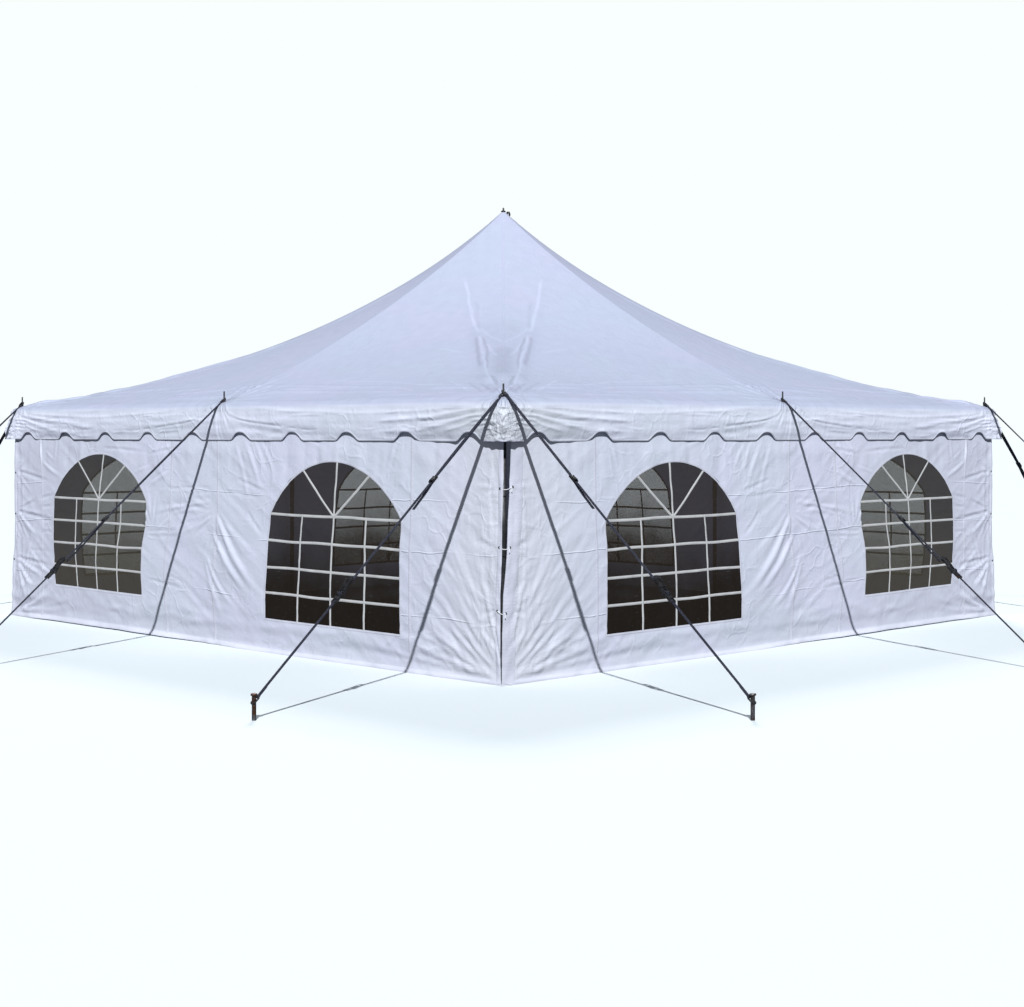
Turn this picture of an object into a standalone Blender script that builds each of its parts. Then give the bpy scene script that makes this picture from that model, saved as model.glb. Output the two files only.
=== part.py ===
"""Marquee tent: a square pole tent, twenty feet a side, with a window wall on every side.

The frame is +Z up, with its origin on the ground under the peak. The front wall faces -Y and the
right wall faces +X. All lengths are in metres.
"""
import math

import bmesh
import bpy
from mathutils import Matrix, Vector

# Driving dimensions of the tent
SIDE = 6.096
HALF = SIDE / 2
PEAK_HEIGHT = 3.53
PIN_INSET = 0.073
PIN_LINE_HEIGHT = 1.825
TOUCH_GAP = 0.0003
QUARTER_TURN = math.pi / 2

# Canopy: the fabric sweeps up to the peak, steeper along the hips than along the side ridges
PIN_LINE = HALF - PIN_INSET
CORNER_SWEEP = 1.81
SIDE_SWEEP = 0.70
SHOULDER_LINE = HALF - 0.038
SHOULDER_HEIGHT = 1.797
BAND_HEIGHT = 1.765
RIM_HEIGHT = 1.750
CANOPY_THICKNESS = 0.006
SPANS_PER_SIDE = 10
ROOF_ROWS = 13
PEAK_RING_SHARE = 0.004

# Valance: a straight skirt whose lower edge has ten arched notches a side
SCALLOPS_PER_SIDE = 10
SCALLOP_PITCH = SIDE / SCALLOPS_PER_SIDE
NOTCH_WIDTH = 0.38 * SCALLOP_PITCH
NOTCH_STEPS = 8
VALANCE_FOOT = 1.535
NOTCH_DEPTH = 0.060
NOTCH_ROUNDNESS = 0.62
VALANCE_TOP = RIM_HEIGHT - TOUCH_GAP

# Walls, hung just inside the valance, a little apart at the corners
WALL_THICKNESS = 0.008
WALL_OUTSIDE = HALF - CANOPY_THICKNESS - TOUCH_GAP
WALL_INSIDE = WALL_OUTSIDE - WALL_THICKNESS
WALL_TOP = 1.745
WALL_TOP_HALF = HALF - 0.050
WALL_FOOT_HALF = HALF - 0.020

# Windows: two a wall, a rectangle under a segmental arch
WINDOW_WIDTH = 1.47
WINDOW_SILL = 0.245
WINDOW_SPRING = 1.005
WINDOW_RISE = 0.382
WINDOW_NEAR_CENTRE = 1.358
WINDOW_FAR_CENTRE = -1.622
ARCH_STEPS = 12
FILM_THICKNESS = 0.003
FILM_OVERLAP = 0.020

# Poles: a tube on a foot plate, with a pin through the canopy's grommet
PIN_TOP = 1.905
SIDE_POLE_RADIUS = 0.019
SIDE_POLE_TOP = 1.800
SIDE_FOOT_RADIUS = 0.045
SIDE_PIN_RADIUS = 0.006
CENTRE_PIN_TOP = 3.560
CENTRE_POLE_RADIUS = 0.025
CENTRE_POLE_TOP = 3.498
CENTRE_FOOT_RADIUS = 0.070
CENTRE_PIN_RADIUS = 0.008
FOOT_THICKNESS = 0.006
PIN_TIP = 0.003
TURNED_STEPS = 12

# Guy straps: a ring on the pin, webbing, a buckle, a ratchet and a loop at the stake
CORNER_STRAP_REACH = 1.95
SIDE_STRAP_REACH = 2.07
STRAP_WIDTH = 0.025
STRAP_THICKNESS = 0.0025
RING_WIRE_RADIUS = 0.004
RING_WIRE_SIDES = 6
PIN_RING_RADIUS = SIDE_PIN_RADIUS + TOUCH_GAP + RING_WIRE_RADIUS
PIN_RING_HEIGHT = 1.842
RING_STACK_STEP = 2 * RING_WIRE_RADIUS + TOUCH_GAP
STAKE_RING_HEIGHT = 0.105
CORNER_BUCKLE_SHARE = 0.309
CORNER_RATCHET_SHARE = 0.682
SIDE_BUCKLE_SHARE = 0.498
SIDE_RATCHET_SHARE = 0.698
BUCKLE_SIZE = Vector((0.055, 0.034, 0.012))
RATCHET_FRAME_SIZE = Vector((0.130, 0.036, 0.014))
RATCHET_HANDLE_SIZE = Vector((0.120, 0.030, 0.010))
RATCHET_DRUM_RADIUS = 0.0155
RATCHET_DRUM_LENGTH = 0.052
RATCHET_HANDLE_ANGLE = math.radians(9)

# Stakes: the part that stands above the ground
STAKE_RADIUS = 0.0125
STAKE_HEAD_RADIUS = 0.020
STAKE_HEAD_THICKNESS = 0.012
STAKE_HEIGHT = 0.150
STAKE_RING_RADIUS = STAKE_RADIUS + TOUCH_GAP + RING_WIRE_RADIUS

# Each side: the turn that brings the front to it, and which way its window spacing is handed
SIDES = {"front": (0, 1), "right": (1, -1), "back": (2, 1), "left": (3, -1)}
CORNERS = {"front_right": ("front", "right"), "back_right": ("back", "right"),
           "back_left": ("back", "left"), "front_left": ("front", "left")}

# Finishes: colour, roughness, metallic
ROOF_VINYL = ("roof_vinyl", (0.56, 0.60, 0.72), 0.45, 0.0)
VALANCE_VINYL = ("valance_vinyl", (0.66, 0.71, 0.84), 0.45, 0.0)
WALL_VINYL = ("wall_vinyl", (0.62, 0.66, 0.76), 0.50, 0.0)
CLEAR_FILM = ("clear_film", (0.05, 0.05, 0.045), 0.15, 0.0)
GALVANISED_TUBE = ("galvanised_tube", (0.35, 0.36, 0.38), 0.40, 0.9)
STRAP_WEBBING = ("strap_webbing", (0.04, 0.04, 0.055), 0.85, 0.0)
STAKE_STEEL = ("stake_steel", (0.22, 0.21, 0.20), 0.60, 0.8)


def clear_scene():
    """Remove every object that the file starts with."""
    for item in list(bpy.data.objects):
        bpy.data.objects.remove(item, do_unlink=True)


def add_collection(name):
    """Make a collection and link it to the scene."""
    collection = bpy.data.collections.new(name)
    bpy.context.scene.collection.children.link(collection)
    return collection


def material(finish):
    """Return the Principled material for a finish, made on its first use."""
    name, colour, roughness, metallic = finish
    found = bpy.data.materials.get(name)
    if found:
        return found
    made = bpy.data.materials.new(name)
    made.use_nodes = True
    shader = made.node_tree.nodes["Principled BSDF"]
    shader.inputs["Base Color"].default_value = (*colour, 1)
    shader.inputs["Roughness"].default_value = roughness
    shader.inputs["Metallic"].default_value = metallic
    return made


def add_object(name, data, collection, finish):
    """Link a new object made from mesh or curve data, with its finish."""
    made = bpy.data.objects.new(name, data)
    collection.objects.link(made)
    if not data.materials:
        data.materials.append(material(finish))
    return made


def mesh_from(name, built):
    """Turn a bmesh into mesh data, with its faces pointing out."""
    bmesh.ops.recalc_face_normals(built, faces=built.faces)
    data = bpy.data.meshes.new(name)
    built.to_mesh(data)
    built.free()
    return data


def side_direction(side):
    """The outward direction of a side."""
    turns, _ = SIDES[side]
    return Matrix.Rotation(turns * QUARTER_TURN, 3, "Z") @ Vector((0, -1, 0))


def pole_places():
    """Each pole round the edge: its name, its place on the ground, and the sides it stands on."""
    places = {side: (side_direction(side) * PIN_LINE, (side,)) for side in SIDES}
    for corner, (first, second) in CORNERS.items():
        places[corner] = ((side_direction(first) + side_direction(second)) * PIN_LINE, (first, second))
    return places


def stand_on_side(item, side, distance):
    """Turn a flat outline upright, its own +Z facing out, at a distance from the middle."""
    turns, _ = SIDES[side]
    item.rotation_euler = (QUARTER_TURN, 0, turns * QUARTER_TURN)
    item.location = side_direction(side) * distance


def flat_outline(name, outlines, thickness):
    """Curve data for a flat sheet with straight-sided outlines, the later ones being holes."""
    data = bpy.data.curves.new(name, "CURVE")
    data.dimensions = "2D"
    data.fill_mode = "BOTH"
    data.extrude = thickness / 2
    for outline in outlines:
        spline = data.splines.new("POLY")
        spline.points.add(len(outline) - 1)
        for point, (x, y) in zip(spline.points, outline):
            point.co = (x, y, 0, 1)
        spline.use_cyclic_u = True
    return data


def roof_height(share, angle):
    """Height of the canopy at a share of the way from the peak to the pin line."""
    across = math.tan(abs(math.remainder(angle, QUARTER_TURN)))
    sweep = SIDE_SWEEP + (CORNER_SWEEP - SIDE_SWEEP) * across
    lift = (math.exp(-sweep * share) - math.exp(-sweep)) / (1 - math.exp(-sweep))
    return PIN_LINE_HEIGHT + (PEAK_HEIGHT - PIN_LINE_HEIGHT) * lift


def roof_point(share, point):
    """Move a point of the square ring to a share of the way out, on the canopy."""
    angle = math.atan2(point.y, point.x)
    scale = share * PIN_LINE / max(abs(point.x), abs(point.y))
    return Vector((point.x * scale, point.y * scale, roof_height(share, angle)))


def edge_point(line, height, point):
    """Move a point of the square ring out to a line past the pins, at one height."""
    scale = line / max(abs(point.x), abs(point.y))
    return Vector((point.x * scale, point.y * scale, height))


def extrude_ring(built, edges, place):
    """Extrude a closed ring of edges and move the new points; return the new ring."""
    grown = bmesh.ops.extrude_edge_only(built, edges=edges)["geom"]
    for vert in (item for item in grown if isinstance(item, bmesh.types.BMVert)):
        vert.co = place(vert.co)
    return [item for item in grown if isinstance(item, bmesh.types.BMEdge) and item.is_boundary]


def build_canopy(collection, cutters):
    """The roof: one sheet from the peak to the rim above the valance, with a hole for each pin."""
    built = bmesh.new()
    bmesh.ops.create_circle(built, segments=4, radius=PIN_LINE * math.sqrt(2),
                            matrix=Matrix.Rotation(QUARTER_TURN / 2, 4, "Z"))
    bmesh.ops.subdivide_edges(built, edges=built.edges[:], cuts=SPANS_PER_SIDE - 1)
    pin_ring = built.edges[:]
    for vert in built.verts:
        vert.co = roof_point(1, vert.co)
    ring = pin_ring
    for row in range(ROOF_ROWS - 1, -1, -1):
        share = max((row / ROOF_ROWS) ** 1.3, PEAK_RING_SHARE)
        ring = extrude_ring(built, ring, lambda point: roof_point(share, point))
    ring = pin_ring
    for line, height in ((SHOULDER_LINE, SHOULDER_HEIGHT), (HALF, BAND_HEIGHT), (HALF, RIM_HEIGHT)):
        ring = extrude_ring(built, ring, lambda point: edge_point(line, height, point))
    data = mesh_from("canopy", built)
    if sum(face.normal.z for face in data.polygons) < 0:
        data.flip_normals()
    canopy = add_object("canopy", data, collection, ROOF_VINYL)
    shell = canopy.modifiers.new("fabric thickness", "SOLIDIFY")
    shell.thickness = CANOPY_THICKNESS
    shell.offset = -1
    shell.use_even_offset = True
    holes = canopy.modifiers.new("pin holes", "BOOLEAN")
    holes.operation = "DIFFERENCE"
    holes.solver = "EXACT"
    holes.object = build_pin_cutter(cutters)


def build_pin_cutter(cutters):
    """The cutter for the canopy's grommet holes, one for each pole's pin."""
    built = bmesh.new()
    pins = [(place, SIDE_PIN_RADIUS, PIN_LINE_HEIGHT) for place, _ in pole_places().values()]
    pins.append((Vector((0, 0, 0)), CENTRE_PIN_RADIUS, PEAK_HEIGHT))
    for place, radius, height in pins:
        bmesh.ops.create_cone(built, cap_ends=True, segments=TURNED_STEPS, depth=0.1,
                              radius1=radius + TOUCH_GAP, radius2=radius + TOUCH_GAP,
                              matrix=Matrix.Translation(place + Vector((0, 0, height))))
    cutter = add_object("pin_cutter", mesh_from("pin_cutter", built), cutters, STAKE_STEEL)
    cutter.hide_render = True
    cutter.display_type = "WIRE"
    return cutter


def scalloped_edge(half_length):
    """Points along a valance's lower edge, from left to right, over its arched notches."""
    points = [(-half_length, VALANCE_FOOT)]
    for scallop in range(SCALLOPS_PER_SIDE):
        middle = (scallop + 0.5) * SCALLOP_PITCH - HALF
        for step in range(NOTCH_STEPS + 1):
            share = step / NOTCH_STEPS - 0.5
            rise = NOTCH_DEPTH * math.cos(math.pi * share) ** (2 * NOTCH_ROUNDNESS)
            points.append((middle + share * NOTCH_WIDTH, VALANCE_FOOT + rise))
    points.append((half_length, VALANCE_FOOT))
    return points


def build_valances(collection):
    """The four skirts under the canopy's rim; the side pair fits between the front and back."""
    for side, (turns, _) in SIDES.items():
        half_length = HALF - (turns % 2) * (CANOPY_THICKNESS + TOUCH_GAP)
        outline = scalloped_edge(half_length) + [(half_length, VALANCE_TOP), (-half_length, VALANCE_TOP)]
        data = flat_outline(f"{side}_valance", [outline], CANOPY_THICKNESS)
        valance = add_object(f"{side}_valance", data, collection, VALANCE_VINYL)
        stand_on_side(valance, side, HALF - CANOPY_THICKNESS / 2)


def window_outline(centre, margin):
    """A window's outline, grown by a margin all round."""
    half_width = WINDOW_WIDTH / 2
    radius = (half_width ** 2 + WINDOW_RISE ** 2) / (2 * WINDOW_RISE)
    arch_middle = WINDOW_SPRING + WINDOW_RISE - radius
    radius += margin
    half_width += margin
    spread = math.asin(half_width / radius)
    points = [(centre - half_width, WINDOW_SILL - margin), (centre + half_width, WINDOW_SILL - margin)]
    for step in range(ARCH_STEPS + 1):
        lean = spread * (1 - 2 * step / ARCH_STEPS)
        points.append((centre + radius * math.sin(lean), arch_middle + radius * math.cos(lean)))
    return points


def window_centres(side):
    """Where a side's two windows stand, as the name of each one and its place from the middle."""
    _, hand = SIDES[side]
    near, far = hand * WINDOW_NEAR_CENTRE, hand * WINDOW_FAR_CENTRE
    return {"right": max(near, far), "left": min(near, far)}


def build_walls(collection):
    """The four walls with their window openings, and the film behind each opening."""
    for side in SIDES:
        centres = window_centres(side)
        sheet = [(-WALL_FOOT_HALF, 0), (WALL_FOOT_HALF, 0), (WALL_TOP_HALF, WALL_TOP), (-WALL_TOP_HALF, WALL_TOP)]
        outlines = [sheet] + [window_outline(centre, 0) for centre in centres.values()]
        data = flat_outline(f"{side}_wall", outlines, WALL_THICKNESS)
        wall = add_object(f"{side}_wall", data, collection, WALL_VINYL)
        stand_on_side(wall, side, WALL_OUTSIDE - WALL_THICKNESS / 2)
        for hand, centre in centres.items():
            name = f"{side}_window_{hand}"
            data = flat_outline(name, [window_outline(centre, FILM_OVERLAP)], FILM_THICKNESS)
            film = add_object(name, data, collection, CLEAR_FILM)
            stand_on_side(film, side, WALL_INSIDE - TOUCH_GAP - FILM_THICKNESS / 2)


def turned(name, profile):
    """Mesh data for a round piece: its profile at +X, from the top down."""
    built = bmesh.new()
    verts = [built.verts.new((radius, 0, height)) for radius, height in profile]
    for first, second in zip(verts, verts[1:]):
        built.edges.new((first, second))
    data = bpy.data.meshes.new(name)
    built.to_mesh(data)
    built.free()
    return data


def spin_profile(item):
    """Turn an object's profile about its own Z."""
    screw = item.modifiers.new("turn", "SCREW")
    screw.steps = TURNED_STEPS
    screw.render_steps = TURNED_STEPS
    screw.use_merge_vertices = True
    screw.merge_threshold = 0.0001


def pole_profile(tube_radius, foot_radius, pin_radius, tube_top, pin_top):
    """A pole from the tip of its pin down to its foot plate."""
    return [(0, pin_top), (pin_radius - PIN_TIP, pin_top), (pin_radius, pin_top - PIN_TIP),
            (pin_radius, tube_top), (tube_radius, tube_top), (tube_radius, FOOT_THICKNESS),
            (foot_radius, FOOT_THICKNESS), (foot_radius, 0), (0, 0)]


def build_poles(collection):
    """The centre pole, a pole in the middle of each side, and one at each corner."""
    centre = turned("centre_pole", pole_profile(CENTRE_POLE_RADIUS, CENTRE_FOOT_RADIUS, CENTRE_PIN_RADIUS,
                                                CENTRE_POLE_TOP, CENTRE_PIN_TOP))
    spin_profile(add_object("centre_pole", centre, collection, GALVANISED_TUBE))
    shared = turned("side_pole", pole_profile(SIDE_POLE_RADIUS, SIDE_FOOT_RADIUS, SIDE_PIN_RADIUS,
                                              SIDE_POLE_TOP, PIN_TOP))
    for name, (place, _) in pole_places().items():
        pole = add_object(f"{name}_pole", shared, collection, GALVANISED_TUBE)
        pole.location = place
        spin_profile(pole)


def block(size, matrix):
    """A box of a size, placed by a matrix."""
    built = bmesh.new()
    bmesh.ops.create_cube(built, size=1, matrix=matrix @ Matrix.Diagonal((*size, 1)))
    return mesh_from("block", built)


def drum(radius, length, matrix):
    """A closed cylinder across the strap."""
    built = bmesh.new()
    bmesh.ops.create_cone(built, cap_ends=True, segments=TURNED_STEPS, depth=length, radius1=radius,
                          radius2=radius, matrix=matrix @ Matrix.Rotation(QUARTER_TURN, 4, "X"))
    return mesh_from("drum", built)


def ring(radius, place):
    """A ring of round wire lying flat, its facets in line with those of the pin inside it."""
    bpy.ops.mesh.primitive_torus_add(major_segments=TURNED_STEPS, minor_segments=RING_WIRE_SIDES,
                                     major_radius=radius, minor_radius=RING_WIRE_RADIUS)
    made = bpy.context.object
    data = made.data
    data.transform(Matrix.Translation(place))
    bpy.data.objects.remove(made, do_unlink=True)
    return data


def fuse(name, pieces):
    """Join closed meshes that overlap into one body with Boolean unions."""
    base, *others = [bpy.data.objects.new(name, data) for data in pieces]
    for item in (base, *others):
        bpy.context.scene.collection.objects.link(item)
    for other in others:
        union = base.modifiers.new("union", "BOOLEAN")
        union.operation = "UNION"
        union.solver = "EXACT"
        union.object = other
    graph = bpy.context.evaluated_depsgraph_get()
    data = bpy.data.meshes.new_from_object(base.evaluated_get(graph))
    data.name = name
    for item in (base, *others):
        bpy.data.objects.remove(item, do_unlink=True)
    return data


def strap_mesh(name, reach, ring_height, buckle_share, ratchet_share):
    """A taut guy strap that runs out along +X from the pin to the stake, as one body."""
    start = Vector((PIN_RING_RADIUS, 0, ring_height))
    end = Vector((reach - STAKE_RING_RADIUS, 0, STAKE_RING_HEIGHT))
    run = end - start
    slope = Matrix.Rotation(math.atan2(-run.z, run.x), 4, "Y")

    def along(share, lift=0):
        """The strap's own axes at a share of its length."""
        return Matrix.Translation(start + run * share) @ slope @ Matrix.Translation((0, 0, lift))

    handle = along(ratchet_share, RATCHET_DRUM_RADIUS) @ Matrix.Rotation(RATCHET_HANDLE_ANGLE, 4, "Y")
    return fuse(name, [
        block(Vector((run.length, STRAP_WIDTH, STRAP_THICKNESS)), along(0.5)),
        ring(PIN_RING_RADIUS, Vector((0, 0, ring_height))),
        ring(STAKE_RING_RADIUS, Vector((reach, 0, STAKE_RING_HEIGHT))),
        block(BUCKLE_SIZE, along(buckle_share)),
        block(RATCHET_FRAME_SIZE, along(ratchet_share)),
        drum(RATCHET_DRUM_RADIUS, RATCHET_DRUM_LENGTH, along(ratchet_share)),
        block(RATCHET_HANDLE_SIZE, handle @ Matrix.Translation((-RATCHET_HANDLE_SIZE.x / 3, 0, 0)))])


def build_straps_and_stakes(collection):
    """A guy strap and its stake for each side that a pole stands on."""
    stake_profile = [(0, STAKE_HEIGHT), (STAKE_HEAD_RADIUS, STAKE_HEIGHT),
                     (STAKE_HEAD_RADIUS, STAKE_HEIGHT - STAKE_HEAD_THICKNESS),
                     (STAKE_RADIUS, STAKE_HEIGHT - STAKE_HEAD_THICKNESS), (STAKE_RADIUS, 0), (0, 0)]
    stake_data = turned("stake", stake_profile)
    side_strap = strap_mesh("side_strap", SIDE_STRAP_REACH, PIN_RING_HEIGHT,
                            SIDE_BUCKLE_SHARE, SIDE_RATCHET_SHARE)
    corner_straps = [strap_mesh(f"corner_strap_{level}", CORNER_STRAP_REACH,
                                PIN_RING_HEIGHT + level * RING_STACK_STEP,
                                CORNER_BUCKLE_SHARE, CORNER_RATCHET_SHARE) for level in range(2)]
    for name, (place, sides) in pole_places().items():
        reach = CORNER_STRAP_REACH if len(sides) > 1 else SIDE_STRAP_REACH
        for level, side in enumerate(sides):
            ending = f"_{side}" if len(sides) > 1 else ""
            turns, _ = SIDES[side]
            data = corner_straps[level] if len(sides) > 1 else side_strap
            strap = add_object(f"{name}_strap{ending}", data, collection, STRAP_WEBBING)
            strap.location = place
            strap.rotation_euler.z = (turns - 1) * QUARTER_TURN
            stake = add_object(f"{name}_stake{ending}", stake_data, collection, STAKE_STEEL)
            stake.location = place + side_direction(side) * reach
            spin_profile(stake)


def main():
    """Build the whole tent."""
    clear_scene()
    tent = add_collection("marquee_tent")
    cutters = add_collection("cutters")
    build_canopy(tent, cutters)
    build_valances(tent)
    build_walls(tent)
    build_poles(tent)
    build_straps_and_stakes(tent)


main()
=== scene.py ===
"""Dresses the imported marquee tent: cloth, window film, trims, straps, poles and stakes.

Lengths are metres and +Z is up. A side of the tent is written in flat coordinates: `along` runs along the
side towards the end with the nearer window, `drop` runs down the canopy from the line of pins, and `up` is
the height above the ground. The right and left sides are mirror twins of the front and back.
"""
from __future__ import annotations

import logging
import math
from dataclasses import dataclass
from enum import Enum
from typing import Callable, Sequence

import bmesh
import bpy
import numpy as np
from mathutils import Matrix, Vector


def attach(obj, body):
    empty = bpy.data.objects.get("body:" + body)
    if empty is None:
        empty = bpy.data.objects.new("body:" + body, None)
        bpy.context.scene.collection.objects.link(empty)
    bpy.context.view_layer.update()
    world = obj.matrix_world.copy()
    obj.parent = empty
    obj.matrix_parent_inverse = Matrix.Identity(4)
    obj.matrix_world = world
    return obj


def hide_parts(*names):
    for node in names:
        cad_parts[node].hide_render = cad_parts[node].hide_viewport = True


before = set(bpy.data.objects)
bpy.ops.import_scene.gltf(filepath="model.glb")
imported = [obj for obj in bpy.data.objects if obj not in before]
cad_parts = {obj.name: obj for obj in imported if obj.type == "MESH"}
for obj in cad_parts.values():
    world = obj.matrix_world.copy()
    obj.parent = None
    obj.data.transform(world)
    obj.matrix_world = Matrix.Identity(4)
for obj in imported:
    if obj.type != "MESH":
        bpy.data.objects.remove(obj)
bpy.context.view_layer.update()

Array = np.ndarray
Shape = bmesh.types.BMesh
Pair = tuple[float, float]
Colour = tuple[float, float, float]
Placer = Callable[[Array, Array, Array], Array]
MM = 0.001
log = logging.getLogger("tent")


@dataclass(frozen=True)
class TentSizes:
    """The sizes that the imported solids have, repeated here."""

    half: float = 3.048
    pin_line: float = 2.975
    pin_line_height: float = 1.825
    peak_height: float = 3.53
    corner_sweep: float = 1.81
    side_sweep: float = 0.70
    rim_height: float = 1.750
    shoulder_run: float = 0.110
    shoulder_slope: float = 0.25
    scallops: int = 10
    notch_share: float = 0.436
    notch_depth: float = 0.060
    notch_roundness: float = 1.4
    valance_foot: float = 1.535
    wall_plane: float = 3.0417
    wall_top: float = 1.745
    window_width: float = 1.47
    sill: float = 0.245
    spring: float = 1.005
    rise: float = 0.382
    window_centres: Pair = (1.358, -1.622)
    pin_radius: float = 0.006
    stake_radius: float = 0.0125
    stake_height: float = 0.150

    @property
    def arch_radius(self) -> float:
        """Returns the radius of a window's arch."""
        return (self.window_width ** 2 / 4 + self.rise ** 2) / (2 * self.rise)

    @property
    def arch_centre(self) -> float:
        """Returns the height of the centre of a window's arch."""
        return self.spring + self.rise - self.arch_radius


SIZE = TentSizes()
TIE_HEIGHTS = (1.24, 0.87, 0.47)


class Side(Enum):
    """The tent's sides: quarter turns from the front, and the hand of its nearer window."""

    FRONT = (0, 1)
    RIGHT = (1, -1)
    BACK = (2, 1)
    LEFT = (3, -1)

    @property
    def label(self) -> str:
        """Returns the side's name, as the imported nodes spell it."""
        return self.name.lower()

    @property
    def hand(self) -> int:
        """Returns 1 where `along` runs to the right as seen from outside, and -1 where it runs left."""
        return self.value[1]

    @property
    def angle(self) -> float:
        """Returns the side's turn from the front."""
        return self.value[0] * math.pi / 2

    def place(self, along: Array, out: Array, up: Array) -> Array:
        """Turns distances along the side, out from the tent's middle and up into rows of x, y and z."""
        right = self.hand * np.asarray(along, float)
        out, up = np.broadcast_to(out, right.shape), np.broadcast_to(up, right.shape)
        cosine, sine = math.cos(self.angle), math.sin(self.angle)
        return np.stack([right * cosine + out * sine, right * sine - out * cosine, up], axis=-1)

    def face_out(self, shape: Shape) -> None:
        """Turns the faces of a mirrored side's cloth outwards."""
        if self.hand < 0:
            bmesh.ops.reverse_faces(shape, faces=shape.faces)

    def window(self, index: int) -> str:
        """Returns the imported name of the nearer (0) or farther (1) window of this side."""
        return f"{self.label}_window_{'right' if (self.hand > 0) == (index == 0) else 'left'}"


CORNERS: dict[str, tuple[Side, Side]] = {
    "front_right": (Side.FRONT, Side.RIGHT), "back_right": (Side.BACK, Side.RIGHT),
    "back_left": (Side.BACK, Side.LEFT), "front_left": (Side.FRONT, Side.LEFT)}


def ease(share: Array) -> Array:
    """Returns a smooth step that rises from 0 at 0 to 1 at 1."""
    held = np.clip(share, 0.0, 1.0)
    return held * held * (3 - 2 * held)


def bell(away: Array, width: float) -> Array:
    """Returns a bell curve: 1 in the middle and a third at its half width."""
    return np.exp(-(away / width) ** 2)


@dataclass(frozen=True)
class Ripple:
    """Smooth uneven waves in cloth, the same at each run.

    Attributes:
        seed: The seed of the waves.
        cell: The size of a wave along the first and second coordinate.
        height: The height of a wave.
        turn: The angle that the waves are turned through, in radians.
        sharp: True for crushed cloth, with sharp ridges.
    """

    seed: int
    cell: Pair
    height: float
    turn: float = 0.0
    sharp: bool = False

    def lift(self, along: Array, up: Array) -> Array:
        """Returns the height of the waves at each point."""
        table = np.random.default_rng(self.seed).uniform(-1.0, 1.0, (256, 256))
        cosine, sine = math.cos(self.turn), math.sin(self.turn)
        first = (along * cosine + up * sine) / self.cell[0] + 128.0
        second = (up * cosine - along * sine) / self.cell[1] + 128.0
        column, row = np.floor(first).astype(int), np.floor(second).astype(int)
        across, over = ease(first - column), ease(second - row)
        column, row = column % 256, row % 256
        right, above = (column + 1) % 256, (row + 1) % 256
        low = table[column, row] * (1 - across) + table[right, row] * across
        high = table[column, above] * (1 - across) + table[right, above] * across
        held = low * (1 - over) + high * over
        return self.height * (1 - 4 * np.abs(held) if self.sharp else held)


@dataclass(frozen=True)
class Crease:
    """A soft ridge in cloth along a bowed line, or a valley where its height is negative.

    Attributes:
        start: The flat coordinates where it starts, which is where the cloth is pulled.
        end: The flat coordinates where it dies out.
        height: Its height.
        width: Its half width at the start.
        spread: Its width at the end, as a multiple of the width at the start.
        bow: How far its middle stands off the straight line.
        fade: The shares of its length over which it rises and dies out.
    """

    start: Pair
    end: Pair
    height: float
    width: float
    spread: float = 1.0
    bow: float = 0.0
    fade: Pair = (0.12, 0.55)

    def lift(self, along: Array, up: Array) -> Array:
        """Returns the height of the ridge at each point."""
        run = (self.end[0] - self.start[0], self.end[1] - self.start[1])
        length = math.hypot(*run)
        away = (along - self.start[0], up - self.start[1])
        share = (away[0] * run[0] + away[1] * run[1]) / length ** 2
        off = (away[1] * run[0] - away[0] * run[1]) / length - self.bow * 4 * share * (1 - share)
        width = self.width * (1 + (self.spread - 1) * np.clip(share, 0, 1))
        near = (share > 0) & (share < 1) & (np.abs(off) < 3 * width)
        lifted = np.zeros_like(share)
        held = ease(share[near] / self.fade[0]) * ease((1 - share[near]) / self.fade[1])
        lifted[near] = self.height * held * bell(off[near], width[near])
        return lifted


@dataclass(frozen=True)
class Fold:
    """A long ridge in cloth, or a valley, through points in the order of their first coordinate."""

    points: tuple[Pair, ...]
    height: float
    width: float

    def lift(self, along: Array, up: Array) -> Array:
        """Returns the height of the ridge at each point."""
        first, second = np.array(self.points).T
        smooth = np.linspace(first[0], first[-1], 60)
        line = np.convolve(np.pad(np.interp(smooth, first, second), 4, mode="edge"), np.ones(9) / 9, "valid")
        share = (along - first[0]) / (first[-1] - first[0])
        held = ease(share / 0.12) * ease((1 - share) / 0.2)
        return self.height * held * bell(up - np.interp(along, smooth, line), self.width)


Wave = Ripple | Crease | Fold


def fan(centre: Pair, angles: Pair, reach: Pair, height: float, width: float, count: int, seed: int,
        gap: float = 0.02) -> list[Wave]:
    """Makes creases that radiate from a point where cloth is pulled.

    Args:
        centre: The point in flat coordinates.
        angles: The first and last direction, in degrees.
        reach: The shortest and longest crease.
        height: The tallest crease, in millimetres; every other one is a valley.
        width: The half width of a crease at its start, in millimetres.
        count: The number of creases.
        seed: The seed of their lengths and heights.
        gap: The distance from the point at which they start.

    Returns:
        The creases.
    """
    random = np.random.default_rng(seed)
    made: list[Wave] = []
    for index in range(count):
        angle = math.radians(angles[0] + (angles[1] - angles[0]) * (index + random.uniform(0.2, 0.8)) / count)
        length = random.uniform(*reach)
        start = (centre[0] + gap * math.cos(angle), centre[1] + gap * math.sin(angle))
        end = (start[0] + length * math.cos(angle), start[1] + length * math.sin(angle))
        tall = height * MM * random.uniform(0.5, 1.0) * (1 if index % 2 == 0 else -0.8)
        made.append(Crease(start, end, tall, width * MM * random.uniform(0.8, 1.3), random.uniform(1.8, 3.4),
                           length * random.uniform(-0.05, 0.05)))
    return made


def total(waves: Sequence[Wave], along: Array, up: Array) -> Array:
    """Returns the summed height of several waves at each point."""
    return sum((wave.lift(along, up) for wave in waves), np.zeros(np.shape(along)))


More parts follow.
